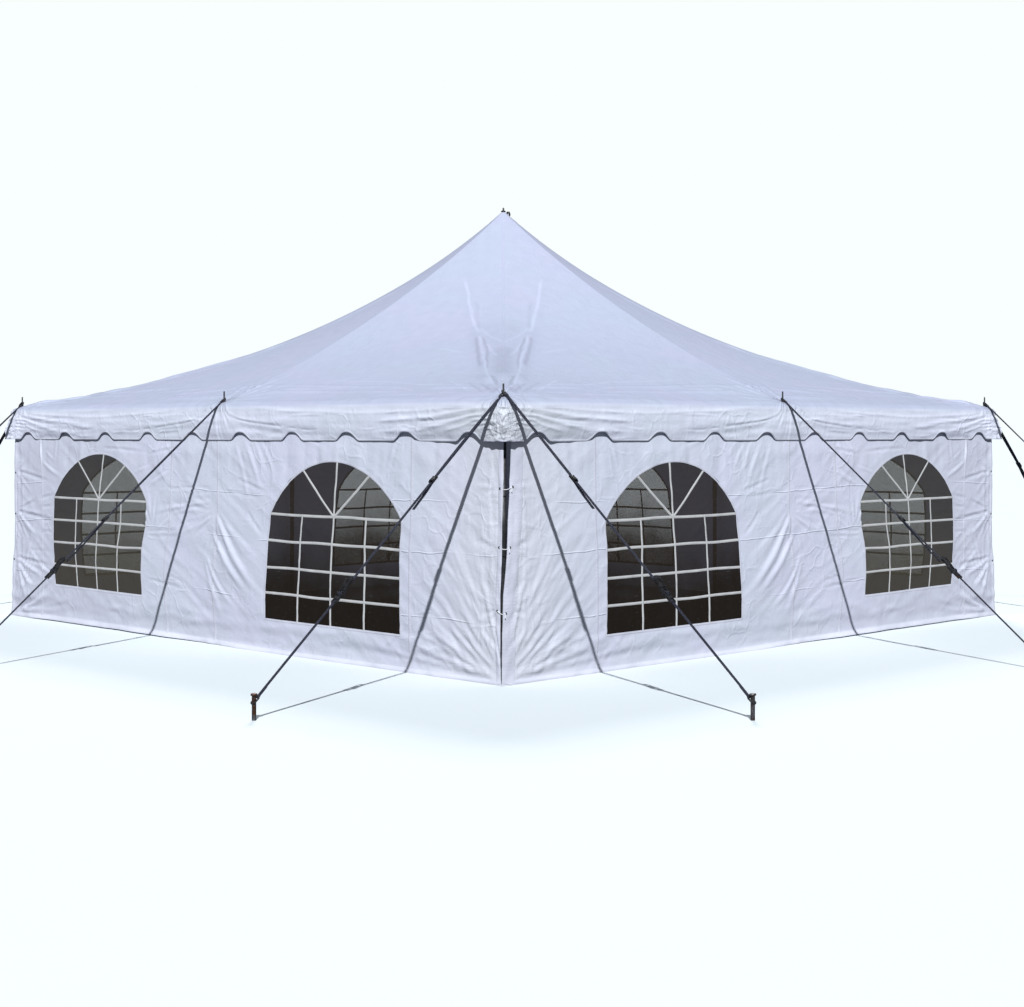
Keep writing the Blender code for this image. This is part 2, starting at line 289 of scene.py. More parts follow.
# Hip creases: start, end, height and half width in millimetres, spread, bow and fades.
HIP_FOLDS = (
    (2.9, -.06, 2.06, -.72, 17, 18, 1.8, -.02, .12, .3), (2.12, -.68, .98, -1.66, 16, 21, 1.5, .02, .2, .3),
    (2.8, -.18, 2.22, -.52, -14, 17, 1.6, .01, .15, .4), (1.1, -1.55, .2, -2.34, 6, 40, 1.2, .01, .3, .5),
    (2.25, -.6, 1.38, -1.38, 11, 16, 1.6, 0, .2, .3), (2.6, -.3, 2.26, -.68, 11, 12, 1.4, 0, .2, .3),
    (2.62, -.18, 2.36, -.46, -9, 12, 1.4, 0, .2, .3),
)
# Folds of the valance and the band above it: height and half width in millimetres, and their points.
VALANCE_FOLDS = (
    (-4.8, 8, ((.13, .132), (.25, .168), (.37, .188), (.69, .217), (1.14, .254), (1.3, .234))),
    (2.6, 10, ((.05, .07), (.14, .12), (.3, .165), (.6, .19), (.95, .214))),
    (-7, 32, ((.2, .2), (.5, .25), (1, .29), (1.4, .28))),
    (3, 11, ((.16, .046), (.79, .108), (1.62, .138), (2.2, .127), (2.73, .101), (2.95, .08))),
    (2.2, 9, ((.8, .06), (1.5, .084), (2.3, .08), (2.9, .052))),
    (6, 12, ((1.81, .194), (2.1, .18), (2.43, .16), (2.64, .131), (2.93, .104))),
    (6, 14, ((1.91, .26), (2.23, .258), (2.52, .21), (2.9, .13))),
    (-5, 10, ((2.24, .2), (2.55, .18), (2.93, .124))), (-10, 28, ((2.2, .322), (2.42, .3), (2.62, .316))),
    (5, 10, ((2.5, .262), (2.7, .222), (2.92, .15))),
)


@dataclass
class CanopyCloth:
    """The shape of the stretched canopy and the valance below it, as one flowing cloth.

    Attributes:
        valance_spread: How far the valance's foot stands off the wall at the corners.
        notch_curl: How far its foot stands off the wall at a notch.
    """

    valance_spread: float = 0.034
    notch_curl: float = 0.004

    def __post_init__(self) -> None:
        """Lays out the folds of the roof, of the valance with the band above it, and of the corners."""
        end = SIZE.pin_line
        self.waves: list[Wave] = [Ripple(3, (0.9, 0.7), 0.006)]
        for x, y, to_x, to_y, height, width, spread, bow, *fade in HIP_FOLDS:
            for way in (1, -1):
                self.waves.append(Crease((way * x, y), (way * to_x, to_y), height * MM, width * MM, spread,
                                         way * bow, tuple(fade)))
        self.waves += fan((end, 0.0), (181, 236), (0.25, 0.95), 10.5, 8.5, 17, 21, 0.05)
        self.waves += fan((-end, 0.0), (-56, -1), (0.25, 0.95), 10.5, 8.5, 17, 22, 0.05)
        self.waves += fan((0.0, 0.0), (184, 356), (0.25, 0.75), 5, 11, 19, 23)
        random = np.random.default_rng(31)
        for _ in range(26):
            middle = random.uniform(-2.4, 2.4)
            drop = -random.uniform(0.06, 0.42)
            reach = random.uniform(0.25, 0.6)
            self.waves.append(Crease((middle - reach, drop + random.uniform(-0.02, 0.02)),
                                     (middle + reach, drop), random.uniform(0.003, 0.0075),
                                     random.uniform(0.011, 0.020), 1.0, random.uniform(-0.02, 0.02), (0.4, 0.4)))
        hung: list[Wave] = []
        for height, width, points in VALANCE_FOLDS:
            turned = tuple((-along, drop + 0.004) for along, drop in reversed(points))
            hung += [Fold(points, height * MM, width * MM), Fold(turned, 0.9 * height * MM, width * MM)]
        for step in range(7):
            for way in (1, -1):
                drop = 0.150 + 0.014 * step
                hung.append(Crease((way * 2.95, drop), (way * random.uniform(2.62, 2.76), drop + 0.016),
                                   0.004 * (-1) ** step, 0.006, 1.3, 0.0, (0.1, 0.6)))
        hung += fan((end, 0.0), (92, 178), (0.18, 0.42), 4.5, 6, 17, 41)
        hung += fan((-end, 0.0), (2, 88), (0.18, 0.42), 4.5, 6, 17, 42)
        hung += fan((0.0, 0.0), (34, 146), (0.18, 0.40), 6, 4.5, 27, 43, 0.05)
        hung += [Ripple(44, (0.26, 0.030), 0.0030), Ripple(45, (0.07, 0.14), 0.0022)]
        for _ in range(22):
            middle = random.uniform(-2.6, 2.6)
            drop = random.uniform(0.08, 0.29)
            reach = random.uniform(0.10, 0.30)
            hung.append(Crease((middle - reach, drop), (middle + reach, drop + random.uniform(-0.02, 0.02)),
                               random.uniform(0.002, 0.0045), random.uniform(0.006, 0.012), 1.0,
                               random.uniform(-0.015, 0.03), (0.4, 0.4)))
        self.valance_waves = hung
        self.corner_waves = [Ripple(46, (0.052, 0.026), 0.0024, 0.3, True),
                             Ripple(47, (0.046, 0.026), 0.0022, -0.7, True),
                             Ripple(48, (0.028, 0.020), 0.0022, 0.6)]

    @staticmethod
    def roof_height(along: Array, out: Array) -> Array:
        """Returns the height of the smooth roof over a point of a side's own triangle."""
        share = np.maximum(out, 1e-6) / SIZE.pin_line
        across = np.abs(along) / np.maximum(out, 1e-6)
        sweep = SIZE.side_sweep + (SIZE.corner_sweep - SIZE.side_sweep) * np.minimum(across, 1.0)
        lift = (np.exp(-sweep * share) - np.exp(-sweep)) / (1 - np.exp(-sweep))
        return SIZE.pin_line_height + (SIZE.peak_height - SIZE.pin_line_height) * lift

    @staticmethod
    def shoulder(drop: Array) -> tuple[Array, Array, Array]:
        """Returns how far out and up the rounded shoulder is at a drop, and its slope as an angle."""
        share = np.clip(drop / SIZE.shoulder_run, 0, 1)
        run = SIZE.half - SIZE.pin_line
        fall = SIZE.pin_line_height - SIZE.rim_height
        middle = SIZE.shoulder_slope * run
        out = SIZE.pin_line + run * (2 * share * (1 - share) + share ** 2)
        up = SIZE.pin_line_height - 2 * share * (1 - share) * middle - share ** 2 * fall
        return out, up, np.arctan2(2 * (1 - share) * middle + 2 * share * (fall - middle), 2 * (1 - share) * run)

    def lift(self, along: Array, drop: Array) -> Array:
        """Returns how far the folds stand off the smooth cloth."""
        size = np.abs(along)
        flat, peak = ease(1 - (drop - 0.02) / 0.09), ease((SIZE.pin_line + drop) / 0.12)
        hung = ease((drop + 0.03) / 0.06) * (1 - 0.25 * ease(drop / 0.07))
        lifted = flat * total(self.waves, along, drop) * peak + total(self.valance_waves, along, drop) * hung
        corner = bell(SIZE.half - size, 0.16)
        lifted += corner * ease((drop - 0.05) / 0.05) * total(self.corner_waves, size, drop)
        below = np.maximum(drop - SIZE.shoulder_run, 0.0) / 0.215
        curl = self.notch_curl * (notch_height(along) / SIZE.notch_depth) ** 0.7
        pins = np.minimum(size, np.abs(size - SIZE.pin_line))
        clear = np.exp(-(pins / 0.045) ** 4 - (drop / 0.12) ** 4)
        lifted = np.where(lifted > 0, lifted * (1 - clear), lifted) - 0.0015 * clear
        belly = 0.009 * np.sin(math.pi * np.clip(below, 0, 1)) * (1 - clear)
        return lifted + belly + below * (self.valance_spread * corner - 0.001) + below ** 3 * curl

    def place(self, along: Array, drop: Array, proud: float | Array = 0.0) -> tuple[Array, Array, Array]:
        """Places points of the cloth in a side's own coordinates.

        Args:
            along: Distances along the side.
            drop: Distances down the cloth from the line of pins.
            proud: How far the points stand off the cloth.

        Returns:
            The distances along, out and up.
        """
        along, drop = np.asarray(along, float), np.asarray(drop, float)
        inner = SIZE.pin_line + np.minimum(drop, 0.0)
        step = 0.004
        slope = (self.roof_height(along, inner - step) - self.roof_height(along, inner + step)) / (2 * step)
        out_s, up_s, tilt_s = self.shoulder(np.maximum(drop, 0.0))
        roof = drop < 0
        out = np.where(roof, inner, out_s)
        up = np.where(roof, self.roof_height(along, inner), up_s) - np.maximum(drop - SIZE.shoulder_run, 0.0)
        tilt = np.where(roof, np.arctan(slope), tilt_s)
        stand = self.lift(along, drop) + proud
        side = np.sign(along) * ease(1 - (out - np.abs(along)) / 0.15)
        return along + side * stand * np.sin(tilt), out + stand * np.sin(tilt), up + stand * np.cos(tilt)

    @staticmethod
    def lines() -> Array:
        """Returns the cloth's grid lines: tight round the pins and the shoulder, and open between them."""
        spread = np.linspace(-SIZE.pin_line, SIZE.pin_line, 4001)
        weight = 1 + 1.6 * bell(spread, 0.28) + 1.6 * bell(np.abs(spread) - 2.90, 0.35)
        grown = np.concatenate([[0.0], np.cumsum((weight[1:] + weight[:-1]) / 2)])
        inner = np.interp(np.linspace(0, grown[-1], 281), grown, spread)
        inner[140] = 0.0
        edge = SIZE.pin_line + SIZE.shoulder_run * np.linspace(0, 1, 10)[1:]
        return np.concatenate([-edge[::-1], inner, edge])

    def along_of(self, line: Array) -> Array:
        """Returns the distance along a side of a grid line, which bends in over the shoulder."""
        out, _, _ = self.shoulder(np.maximum(np.abs(line) - SIZE.pin_line, 0.0))
        return np.where(np.abs(line) <= SIZE.pin_line, line, np.sign(line) * out)


def notch_height(along: Array) -> Array:
    """Returns how far the valance's edge rises above its foot: one rounded notch a scallop."""
    pitch = 2 * SIZE.half / SIZE.scallops
    away = np.abs((along + SIZE.half) % pitch - pitch / 2)
    share = np.clip(away / (SIZE.notch_share * pitch / 2), 0, 1)
    return SIZE.notch_depth * np.cos(math.pi / 2 * share ** SIZE.notch_roundness) ** 2


# Wall folds: start and end measured from the nearer corner, height and half width in millimetres, spread, bow.
WALL_FOLDS = (
    (.17, .05, 1.12, .29, 6, 15, 2.4, .03), (.18, .06, .86, .46, 4.5, 13, 2.4, .03),
    (.2, .05, 1.45, .17, 5.5, 13, 2.2, .01), (.15, .1, .6, .66, 3.5, 13, 2.4, .02),
    (3.06, 1, 2.45, .34, 10, 20, 2.3, -.05), (3.1, .86, 2.56, .33, 9.5, 18, 2.3, -.045),
    (3.18, .68, 2.74, .26, 8, 13, 2.3, -.07), (3.2, .66, 2.95, .16, 5, 15, 2.2, -.03),
    (3.02, 1, 2.46, .62, 5, 14, 2.4, -.02), (3.1, 1.172, 3.92, 1.154, -5.5, 6, 1.2, 0),
    (3.1, 1.066, 3.98, .95, 6, 8, 1.9, -.01), (3.1, 1.12, 3.42, 1.1, 3, 6, 1.6, 0),
    (3.1, 1, 3.54, .9, 4, 8, 1.8, .01), (3.1, .97, 3.4, .8, 3, 8, 1.8, 0),
    (3.98, .823, 3.5, .842, -4, 8, 1.4, 0), (3.98, .78, 3.42, .8, -3.6, 8, 1.4, 0),
    (3.98, .445, 3.4, .388, -5, 8, 1.5, 0), (3.7, .49, 3.44, .44, -5, 6, 1.3, 0),
    (2.95, 1.158, 2.45, 1.118, -4.5, 7, 1.4, 0), (2.8, 1.255, 2.36, 1.14, -5.5, 9, 1.5, 0),
    (2.66, 1.02, 2.46, .83, -5.5, 10, 1.5, -.01), (4.66, 1.472, 3.93, 1.43, -5, 9, 1.4, .006),
    (3.96, 1.426, 3.5, 1.486, -4.5, 9, 1.4, 0), (4.18, 1.276, 3.9, 1.336, 3.5, 7, 1.4, 0),
    (3.94, 1.185, 3.6, 1.32, 4.5, 13, 1.4, 0), (2.72, 1.56, 2.5, 1.14, 4.8, 16, 1.5, .02),
    (2.62, 1.58, 2.44, 1.24, 4, 14, 1.5, .02), (2.5, 1.52, 2.34, 1.28, 3.5, 12, 1.5, .01),
    (2.82, 1.52, 2.64, 1.02, 3.6, 18, 1.5, .02), (.95, .3, 1.2, .1, 4, 12, 1.6, 0),
    (5.92, .06, 5.24, .34, 10, 16, 2.4, -.02), (5.94, .08, 5.48, .52, 8, 13, 2.2, -.02),
    (5.95, .12, 5.64, .6, 7, 12, 2, 0), (5.92, .05, 4.9, .16, 8, 14, 2.4, -.01),
    (5.8, .6, 5.42, .34, 5, 12, 2.2, 0), (6, 1.27, 5.42, 1.17, -7.5, 10, 1.5, 0),
    (6, 1.25, 5.72, 1.05, 4.5, 10, 1.9, 0), (6, .915, 5.36, .845, -9, 11, 1.6, 0),
    (5.98, .905, 5.62, .69, 9.5, 11, 1.8, -.01), (5.98, .93, 5.62, 1.03, -6, 9, 1.8, 0),
    (5.98, .88, 5.78, .64, 5.5, 12, 1.8, -.01), (6, .515, 5.36, .455, -9, 11, 1.6, 0),
    (5.98, .5, 5.49, .355, 8.5, 12, 1.8, -.01), (5.98, .48, 5.66, .235, 9.5, 14, 1.9, -.02),
    (5.97, .45, 5.81, .14, 8, 14, 1.9, -.01), (5.6, 1.038, 5.36, 1.068, -5.5, 9, 1.2, 0),
    (5.6, .955, 5.36, .983, -5, 8, 1.2, 0), (5.6, .84, 5.36, .868, -5, 8, 1.2, 0),
    (5.6, .755, 5.36, .752, -4.5, 9, 1.2, 0), (5.85, .58, 5.38, .578, -3.5, 8, 1.4, .01),
    (5.58, .45, 5.39, .382, 7.5, 9, 1.3, 0), (5.61, 1.58, 5.58, 1.3, 8, 10, 1.3, 0),
    (5.57, 1.35, 5.26, 1.21, 7, 12, 1.4, -.01), (5.52, 1.44, 5.36, 1.34, 4, 10, 1.4, 0),
    (5.34, 1.6, 5.4, 1.3, 5, 12, 1.5, .01), (3.62, 1.6, 3.86, 1.3, 7, 16, 1.5, .01),
    (3.74, 1.6, 3.98, 1.36, 5.5, 13, 1.5, .01), (2.2, 1.58, 1.7, 1.44, 5, 12, 1.6, .02),
    (1, 1.58, 1.14, 1.3, 5.5, 13, 1.6, 0),
)
# Fans of creases, as the arguments of fan().
WALL_FANS = (
    ((3.028, .03), (100, 176), (.4, 1.35), 4.2, 5.5, 40, 80, .06),
    ((-.052, 1), (164, 206), (.5, .95), 2.8, 8, 9, 83),
    ((-2.928, .05), (4, 76), (.3, .95), 7.5, 7, 24, 81, .05),
    ((-.85, .8), (20, 160), (.12, .42), 4.5, 5.5, 14, 84, .05),
    ((-.002, .98), (192, 330), (.2, .6), 3.8, 6, 24, 82))
# How far the wall is pulled: a height, then the pull along and the pull up at each of the stations.
STATIONS = (-3.048, -2.357, -0.887, 0.623, 2.093, 3.048)
PULLS = (
    (0, (0, .04, -.08, -.018, -.03, 0), (0, .01, .01, 0, 0, 0)),
    (.245, (0, .06, -.118, -.024, -.034, 0), (.02, .07, .063, 0, 0, 0)),
    (.43, (0, .035, -.13, -.028, -.034, 0), (.02, .053, .053, 0, 0, 0)),
    (.62, (0, .02, -.118, -.006, -.034, 0), (.02, .053, .053, 0, 0, 0)),
    (.812, (0, .02, -.065, .008, -.034, 0), (.02, .047, .047, 0, 0, 0)),
    (1.005, (0, .03, -.049, .041, -.018, 0), (.01, .041, .041, 0, 0, 0)),
    (1.387, (0, .01, -.02, .018, -.008, 0), (0, .028, .028, 0, 0, 0)),
    (1.745, (0, 0, 0, 0, 0, 0), (0, 0, 0, 0, 0, 0)))


@dataclass
class WallCloth:
    """The shape of a hanging wall: its folds, its flared foot and its windows' film.

    Attributes:
        film_waves: The folds that the film has besides.
        base_waves: The level folds near the foot.
        edge_waves: The upright ones near the laced edges.
        top_waves: The ones that hang from the rim.
        foot_waves: The unevenness of the flared foot.
        slant_waves: The fine crinkles that run up and away from a corner's foot.
    """

    film_waves: tuple[Wave, ...] = (Ripple(11, (0.30, 0.22), 0.004), Ripple(12, (0.07, 0.09), 0.0012, 0.4))
    base_waves: tuple[Wave, ...] = (Ripple(8, (0.75, 0.060), 0.0022, 0.02),
                                    Ripple(9, (0.30, 0.040), 0.0020, -0.10),
                                    Ripple(20, (0.34, 0.075), 0.0010, 0.12, True))
    edge_waves: tuple[Wave, ...] = (Ripple(10, (0.040, 0.50), 0.0026, 0.05),
                                    Ripple(18, (0.030, 0.200), 0.0012, 0.06, True))
    top_waves: tuple[Wave, ...] = (Ripple(13, (0.11, 0.60), 0.0042, 0.10),
                                   Ripple(14, (0.05, 0.30), 0.0018, -0.1))
    foot_waves: tuple[Wave, ...] = (Ripple(15, (0.33, 9.0), 0.45), Ripple(16, (0.09, 9.0), 0.20))
    slant_waves: tuple[Wave, ...] = (Ripple(17, (0.30, 0.024), 0.0030, 2.45),
                                     Ripple(19, (0.22, 0.050), 0.0016, 2.2, True))

    def __post_init__(self) -> None:
        """Lays out the folds of the wall. Beside each ridge runs a shallower valley."""
        near = SIZE.half
        self.waves: list[Wave] = []
        for x, z, to_x, to_z, height, width, spread, bow in WALL_FOLDS:
            start, end = np.array([near - x, z]), np.array([near - to_x, to_z])
            run = (end - start) / np.linalg.norm(end - start)
            aside = np.array([-run[1], run[0]]) * width * MM * 1.9
            for first, last, share in ((0, 0, 1), (0.5, 1.4, -0.55)):
                self.waves.append(Crease(tuple(start + first * aside), tuple(end + last * aside),
                                         share * height * MM, width * MM, spread, bow))
        for index, height in enumerate(TIE_HEIGHTS):
            self.waves += fan((near - 0.04, height), (150, 232), (0.10, 0.26), 4.5, 6, 7, 60 + index)
            self.waves += fan((0.05 - near, height), (-52, 34), (0.14, 0.40), 3.5, 8, 9, 70 + index)
        for row in WALL_FANS:
            self.waves += fan(*row)
        for place in (0.117 - near, 0.198 - near, near - 0.117, near - 0.198):
            self.waves.append(Crease((place, 1.22), (place, 0.18), 0.0036, 0.005, 1.0, 0.0, (0.1, 0.1)))
        self.waves += [Ripple(5, (0.9, 0.8), 0.010), Ripple(6, (0.20, 0.16), 0.0028, 0.5),
                       Ripple(7, (0.42, 0.075), 0.0008, 2.6, True)]

    def lift(self, along: Array, up: Array) -> Array:
        """Returns how far the wall stands off its smooth plane."""
        along, up = np.asarray(along, float), np.asarray(up, float)
        away = SIZE.half - np.abs(along)
        lifted = total(self.waves, along, up)
        lifted += total(self.base_waves, along, up) * bell(up - 0.16, 0.13)
        lifted += total(self.edge_waves, along, up) * bell(away, 0.22) * ease(up / 0.5)
        lifted += total(self.top_waves, along, up) * ease((up - 1.10) / 0.35)
        slant = bell(away, 0.95) * bell(up, 0.80) * ease(away / 0.1) * ease(up / 0.1)
        lifted += slant * total(self.slant_waves, np.abs(along), up)
        flare = np.clip(1 - up / 0.050, 0, 1) ** 1.5 * (1.0 + total(self.foot_waves, along, up))
        lifted += (0.024 * flare - 0.006 * bell(up - 0.10, 0.05)) * (1 - 0.75 * bell(away, 0.45))
        hang = ease((up - 1.42) / 0.16)
        return lifted * (1 - hang) + hang * (np.minimum(lifted, 0.0) * 0.5 - 0.004)

    @staticmethod
    def pulled(along: Array, up: Array) -> tuple[Array, Array]:
        """Returns where points of the flat wall are once the cloth is pulled along and up in its own plane."""
        heights = [row[0] for row in PULLS]
        last = len(STATIONS) - 1
        spot = np.clip(np.interp(along, STATIONS, np.arange(last + 1)), 0, last - 0.001)
        low = spot.astype(int)
        share, columns = ease(spot - low), np.arange(len(low))
        moved = []
        for part in (1, 2):
            shifts = np.array([np.interp(up, heights, pull) for pull in zip(*(row[part] for row in PULLS))])
            moved.append(shifts[low, columns] * (1 - share) + shifts[low + 1, columns] * share)
        return along + moved[0], up + moved[1]

    def place(self, along: Array, up: Array, proud: float | Array = 0.0) -> tuple[Array, Array, Array]:
        """Returns the distances along, out and up of points that stand off the wall."""
        along, up = self.pulled(np.asarray(along, float), np.asarray(up, float))
        return along, SIZE.wall_plane + self.lift(along, up) + proud, up

    def place_film(self, along: Array, up: Array, centre: float,
                   proud: float | Array = 0.0) -> tuple[Array, Array, Array]:
        """Returns the distances along, out and up of points that stand off a window's film."""
        along, up = np.asarray(along, float), np.asarray(up, float)
        inset = np.minimum(SIZE.window_width / 2 - np.abs(along - centre), up - SIZE.sill)
        inset = np.minimum(inset, SIZE.spring + SIZE.rise - up)
        folds = ease(inset / 0.15) * total(self.film_waves, along, up)
        return self.place(along, up, folds - 0.003 + proud)


def window_outline(centre: float, grow: float) -> Array:
    """Returns points round a window, grown outwards, from its lower left corner and clockwise."""
    half, radius, foot = SIZE.window_width / 2 + grow, SIZE.arch_radius + grow, SIZE.sill - grow
    angle = math.asin(min(half / radius, 1.0))
    arc = [(centre + radius * math.sin(a), SIZE.arch_centre + radius * math.cos(a))
           for a in np.linspace(-angle, angle, 48)]
    return np.array([(centre - half, foot), *arc, (centre + half, foot)])


def resample(points: Sequence[Pair] | Array, step: float, closed: bool = False) -> Array:
    """Returns points at equal steps along a line."""
    line = np.vstack([points, points[:1]]) if closed else np.asarray(points, float)
    lengths = np.concatenate([[0.0], np.cumsum(np.linalg.norm(np.diff(line, axis=0), axis=1))])
    places = np.linspace(0, lengths[-1], max(2, round(lengths[-1] / step) + 1))
    return np.stack([np.interp(places, lengths, line[:, axis]) for axis in range(line.shape[1])], axis=1)


def tangents(path: Array, closed: bool) -> Array:
    """Returns a path's unit direction at each point."""
    run = np.roll(path, -1, axis=0) - np.roll(path, 1, axis=0) if closed else np.gradient(path, axis=0)
    return run / np.linalg.norm(run, axis=1, keepdims=True)


def distances(path: Array) -> Array:
    """Returns the distance along a path at each point, and last the one of the way back to its start."""
    steps = np.linalg.norm(np.diff(path, axis=0, append=path[:1]), axis=1)
    return np.concatenate([[0.0], np.cumsum(steps)])


def circle(count: int) -> tuple[Array, Array]:
    """Returns the cosine and sine of equal steps round a circle."""
    angles = np.arange(count) / count * 2 * math.pi
    return np.cos(angles), np.sin(angles)


def round_section(radius: float, sides: int = 8) -> Array:
    """Returns the outline of a round bar."""
    return radius * np.stack(circle(sides), axis=1)


def flat_section(width: float, thickness: float, sides: int = 16) -> Array:
    """Returns the outline of a flat strip with rounded edges."""
    angles = (np.arange(sides) + 0.5) / sides * 2 * math.pi
    cosine, sine = np.cos(angles), np.sin(angles)
    return np.stack([width / 2 * np.sign(cosine) * np.abs(cosine) ** 0.22,
                     thickness / 2 * np.sign(sine) * np.abs(sine) ** 0.7], axis=1)


def new_grid(columns: int, rows: int) -> tuple[Shape, Array, Array]:
    """Returns a flat grid of faces, and each vertex's column and row number."""
    shape = bmesh.new()
    bmesh.ops.create_grid(shape, x_segments=columns, y_segments=rows, size=1.0)
    flat = np.array([vert.co[:2] for vert in shape.verts])
    column, row = np.rint((flat + 1) / 2 * (columns, rows)).astype(int).T
    return shape, column, row


def move(shape: Shape, points: Array) -> None:
    """Moves every vertex to its new place."""
    for vert, point in zip(shape.verts, points.tolist()):
        vert.co = point


def map_cloth(shape: Shape, flat: Array) -> None:
    """Gives a bmesh a UV map in metres, from one flat place for each vertex."""
    layer = shape.loops.layers.uv.new("cloth")
    shape.verts.index_update()
    places = flat.tolist()
    for face in shape.faces:
        for loop in face.loops:
            loop[layer].uv = places[loop.vert.index]


def joined(parts: Sequence[Shape]) -> Shape:
    """Returns several bmeshes as one and frees them."""
    whole = bmesh.new()
    whole.loops.layers.uv.new("cloth")
    for part in parts:
        mesh = bpy.data.meshes.new("part")
        part.to_mesh(mesh)
        part.free()
        whole.from_mesh(mesh)
        bpy.data.meshes.remove(mesh)
    return whole


def merged(shape: Shape, gap: float = 1e-6) -> Shape:
    """Returns a bmesh with its doubles merged and its faces turned outwards."""
    bmesh.ops.remove_doubles(shape, verts=shape.verts, dist=gap)
    bmesh.ops.recalc_face_normals(shape, faces=shape.faces)
    return shape


def moved(shape: Shape, matrix: Matrix) -> Shape:
    """Returns a bmesh after a turn and a shift."""
    bmesh.ops.transform(shape, matrix=matrix, verts=shape.verts)
    return shape


def sweep(path: Array, section: Array, across: Sequence[float] | Array, closed: bool = False) -> Shape:
    """Wraps a grid round a path as a closed bar, strip or ring.

    Args:
        path: The points of the path.
        section: The outline of the bar, as offsets along `across` and square to it.
        across: The direction of the section's first offset.
        closed: True where the path's end meets its start.

    Returns:
        The bmesh, with a UV map of the distance along and round it.
    """
    count, sides = len(path), len(section)
    shape, column, row = new_grid(count if closed else count - 1, sides)
    tangent = tangents(path, closed)
    first = across - tangent * (tangent @ np.asarray(across, float))[:, None]
    first /= np.linalg.norm(first, axis=1, keepdims=True)
    spot, turn = column % count, row % sides
    offsets = section[turn]
    move(shape, path[spot] + first[spot] * offsets[:, :1] + np.cross(tangent, first)[spot] * offsets[:, 1:])
    map_cloth(shape, np.stack([distances(path)[column], distances(section)[row]], axis=1))
    bmesh.ops.remove_doubles(shape, verts=shape.verts, dist=1e-6)
    if not closed:
        bmesh.ops.holes_fill(shape, edges=[edge for edge in shape.edges if edge.is_boundary], sides=0)
    bmesh.ops.recalc_face_normals(shape, faces=shape.faces)
    return shape


def lathe(outline: Sequence[Pair], centre: Sequence[float] = (0, 0, 0), steps: int = 32) -> Shape:
    """Spins an outline round an upright axis.

    Args:
        outline: Distances from the axis and heights, from one end of the axis to the other.
        centre: The point that the heights are measured from.
        steps: The number of steps of the spin.

    Returns:
        The closed bmesh.
    """
    shape, base = bmesh.new(), Vector(centre)
    verts = [shape.verts.new(base + Vector((max(reach, 1e-7), 0, height))) for reach, height in outline]
    edges = [shape.edges.new(pair) for pair in zip(verts, verts[1:])]
    bmesh.ops.spin(shape, geom=verts + edges, cent=base, axis=(0, 0, 1), angle=2 * math.pi, steps=steps,
                   use_merge=True)
    return merged(shape)


def block(size: Sequence[float], centre: Sequence[float], round_off: float, lean: float = 0.0) -> Shape:
    """Makes a block with rounded edges, leaning about Y."""
    shape = bmesh.new()
    bmesh.ops.create_cube(shape, size=1.0)
    bmesh.ops.scale(shape, vec=size, verts=shape.verts)
    bmesh.ops.bevel(shape, geom=list(shape.edges), offset=round_off, segments=2, profile=0.5, affect="EDGES",
                    material=-1)
    return moved(shape, Matrix.Translation(centre) @ Matrix.Rotation(lean, 4, "Y"))


def ribbon(path: Array, width: float, place: Placer, proud: float = 0.0016, rows: int = 4,
           closed: bool = False) -> Shape:
    """Makes a strip of tape that lies on cloth.

    Args:
        path: The points of its middle line, in the cloth's flat coordinates.
        width: Its width.
        place: Puts points on the cloth.
        proud: How far its middle stands off the cloth.
        rows: Its faces across.
        closed: True where it is a ring.

    Returns:
        The strip, with a UV map of the distance along it and the distance from its edge.
    """
    count = len(path)
    shape, column, row = new_grid(count if closed else count - 1, rows)
    aside = tangents(path, closed)[:, ::-1] * (-1, 1)
    share = row / rows * 2 - 1
    spot = column % count
    first, second = (path[spot] + aside[spot] * (share * width / 2)[:, None]).T
    proud = proud * (1 - 0.85 * share ** 6)
    points = place(first, second, proud)
    move(shape, points)
    map_cloth(shape, np.stack([distances(path)[column], (1 - np.abs(share)) * width / 2], axis=1))
    shape.normal_update()
    outward = Vector(place(first, second, proud + 0.01)[0] - points[0])
    if shape.verts[:][0].link_faces[0].normal.dot(outward) < 0:
        bmesh.ops.reverse_faces(shape, faces=shape.faces)
    if closed:
        bmesh.ops.remove_doubles(shape, verts=shape.verts, dist=1e-6)
    return shape


def finish(name: str, shape: Shape, paint: str, nodes: Sequence[str] = (), slot: str = "",
           smooth: float = 180.0) -> bpy.types.Object:
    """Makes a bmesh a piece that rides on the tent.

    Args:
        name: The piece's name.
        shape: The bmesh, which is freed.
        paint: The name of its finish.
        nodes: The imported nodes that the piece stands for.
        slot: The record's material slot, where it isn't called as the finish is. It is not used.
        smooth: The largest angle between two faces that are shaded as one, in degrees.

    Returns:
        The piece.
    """
    for face in shape.faces:
        face.smooth = True
    if smooth < 180.0:
        for edge in shape.edges:
            edge.smooth = len(edge.link_faces) != 2 or edge.calc_face_angle(0.0) < math.radians(smooth)
    mesh = bpy.data.meshes.new(name)
    shape.to_mesh(mesh)
    shape.free()
    mesh.materials.append(PAINTS[paint])
    piece = bpy.data.objects.new(name, mesh)
    bpy.context.scene.collection.objects.link(piece)
    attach(piece, "root")
    slot or paint
    if nodes:
        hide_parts(*nodes)
    log.info("%s: %d faces", name, len(mesh.polygons))
    return piece


class Signal:
    """A value, colour or vector in a material's node tree, worked with like a number."""

    def __init__(self, nodes: NodeTree, socket: bpy.types.NodeSocket) -> None:
        """Keeps the node tree and the socket that the value comes from."""
        self.nodes, self.socket = nodes, socket

    def __add__(self, other: object) -> Signal:
        """Returns the sum."""
        return self.nodes.math("ADD", self, other)

    def __sub__(self, other: object) -> Signal:
        """Returns the difference."""
        return self.nodes.math("SUBTRACT", self, other)

    def __mul__(self, other: object) -> Signal:
        """Returns the product."""
        return self.nodes.math("MULTIPLY", self, other)

    def __abs__(self) -> Signal:
        """Returns the size."""
        return self.nodes.math("ABSOLUTE", self)


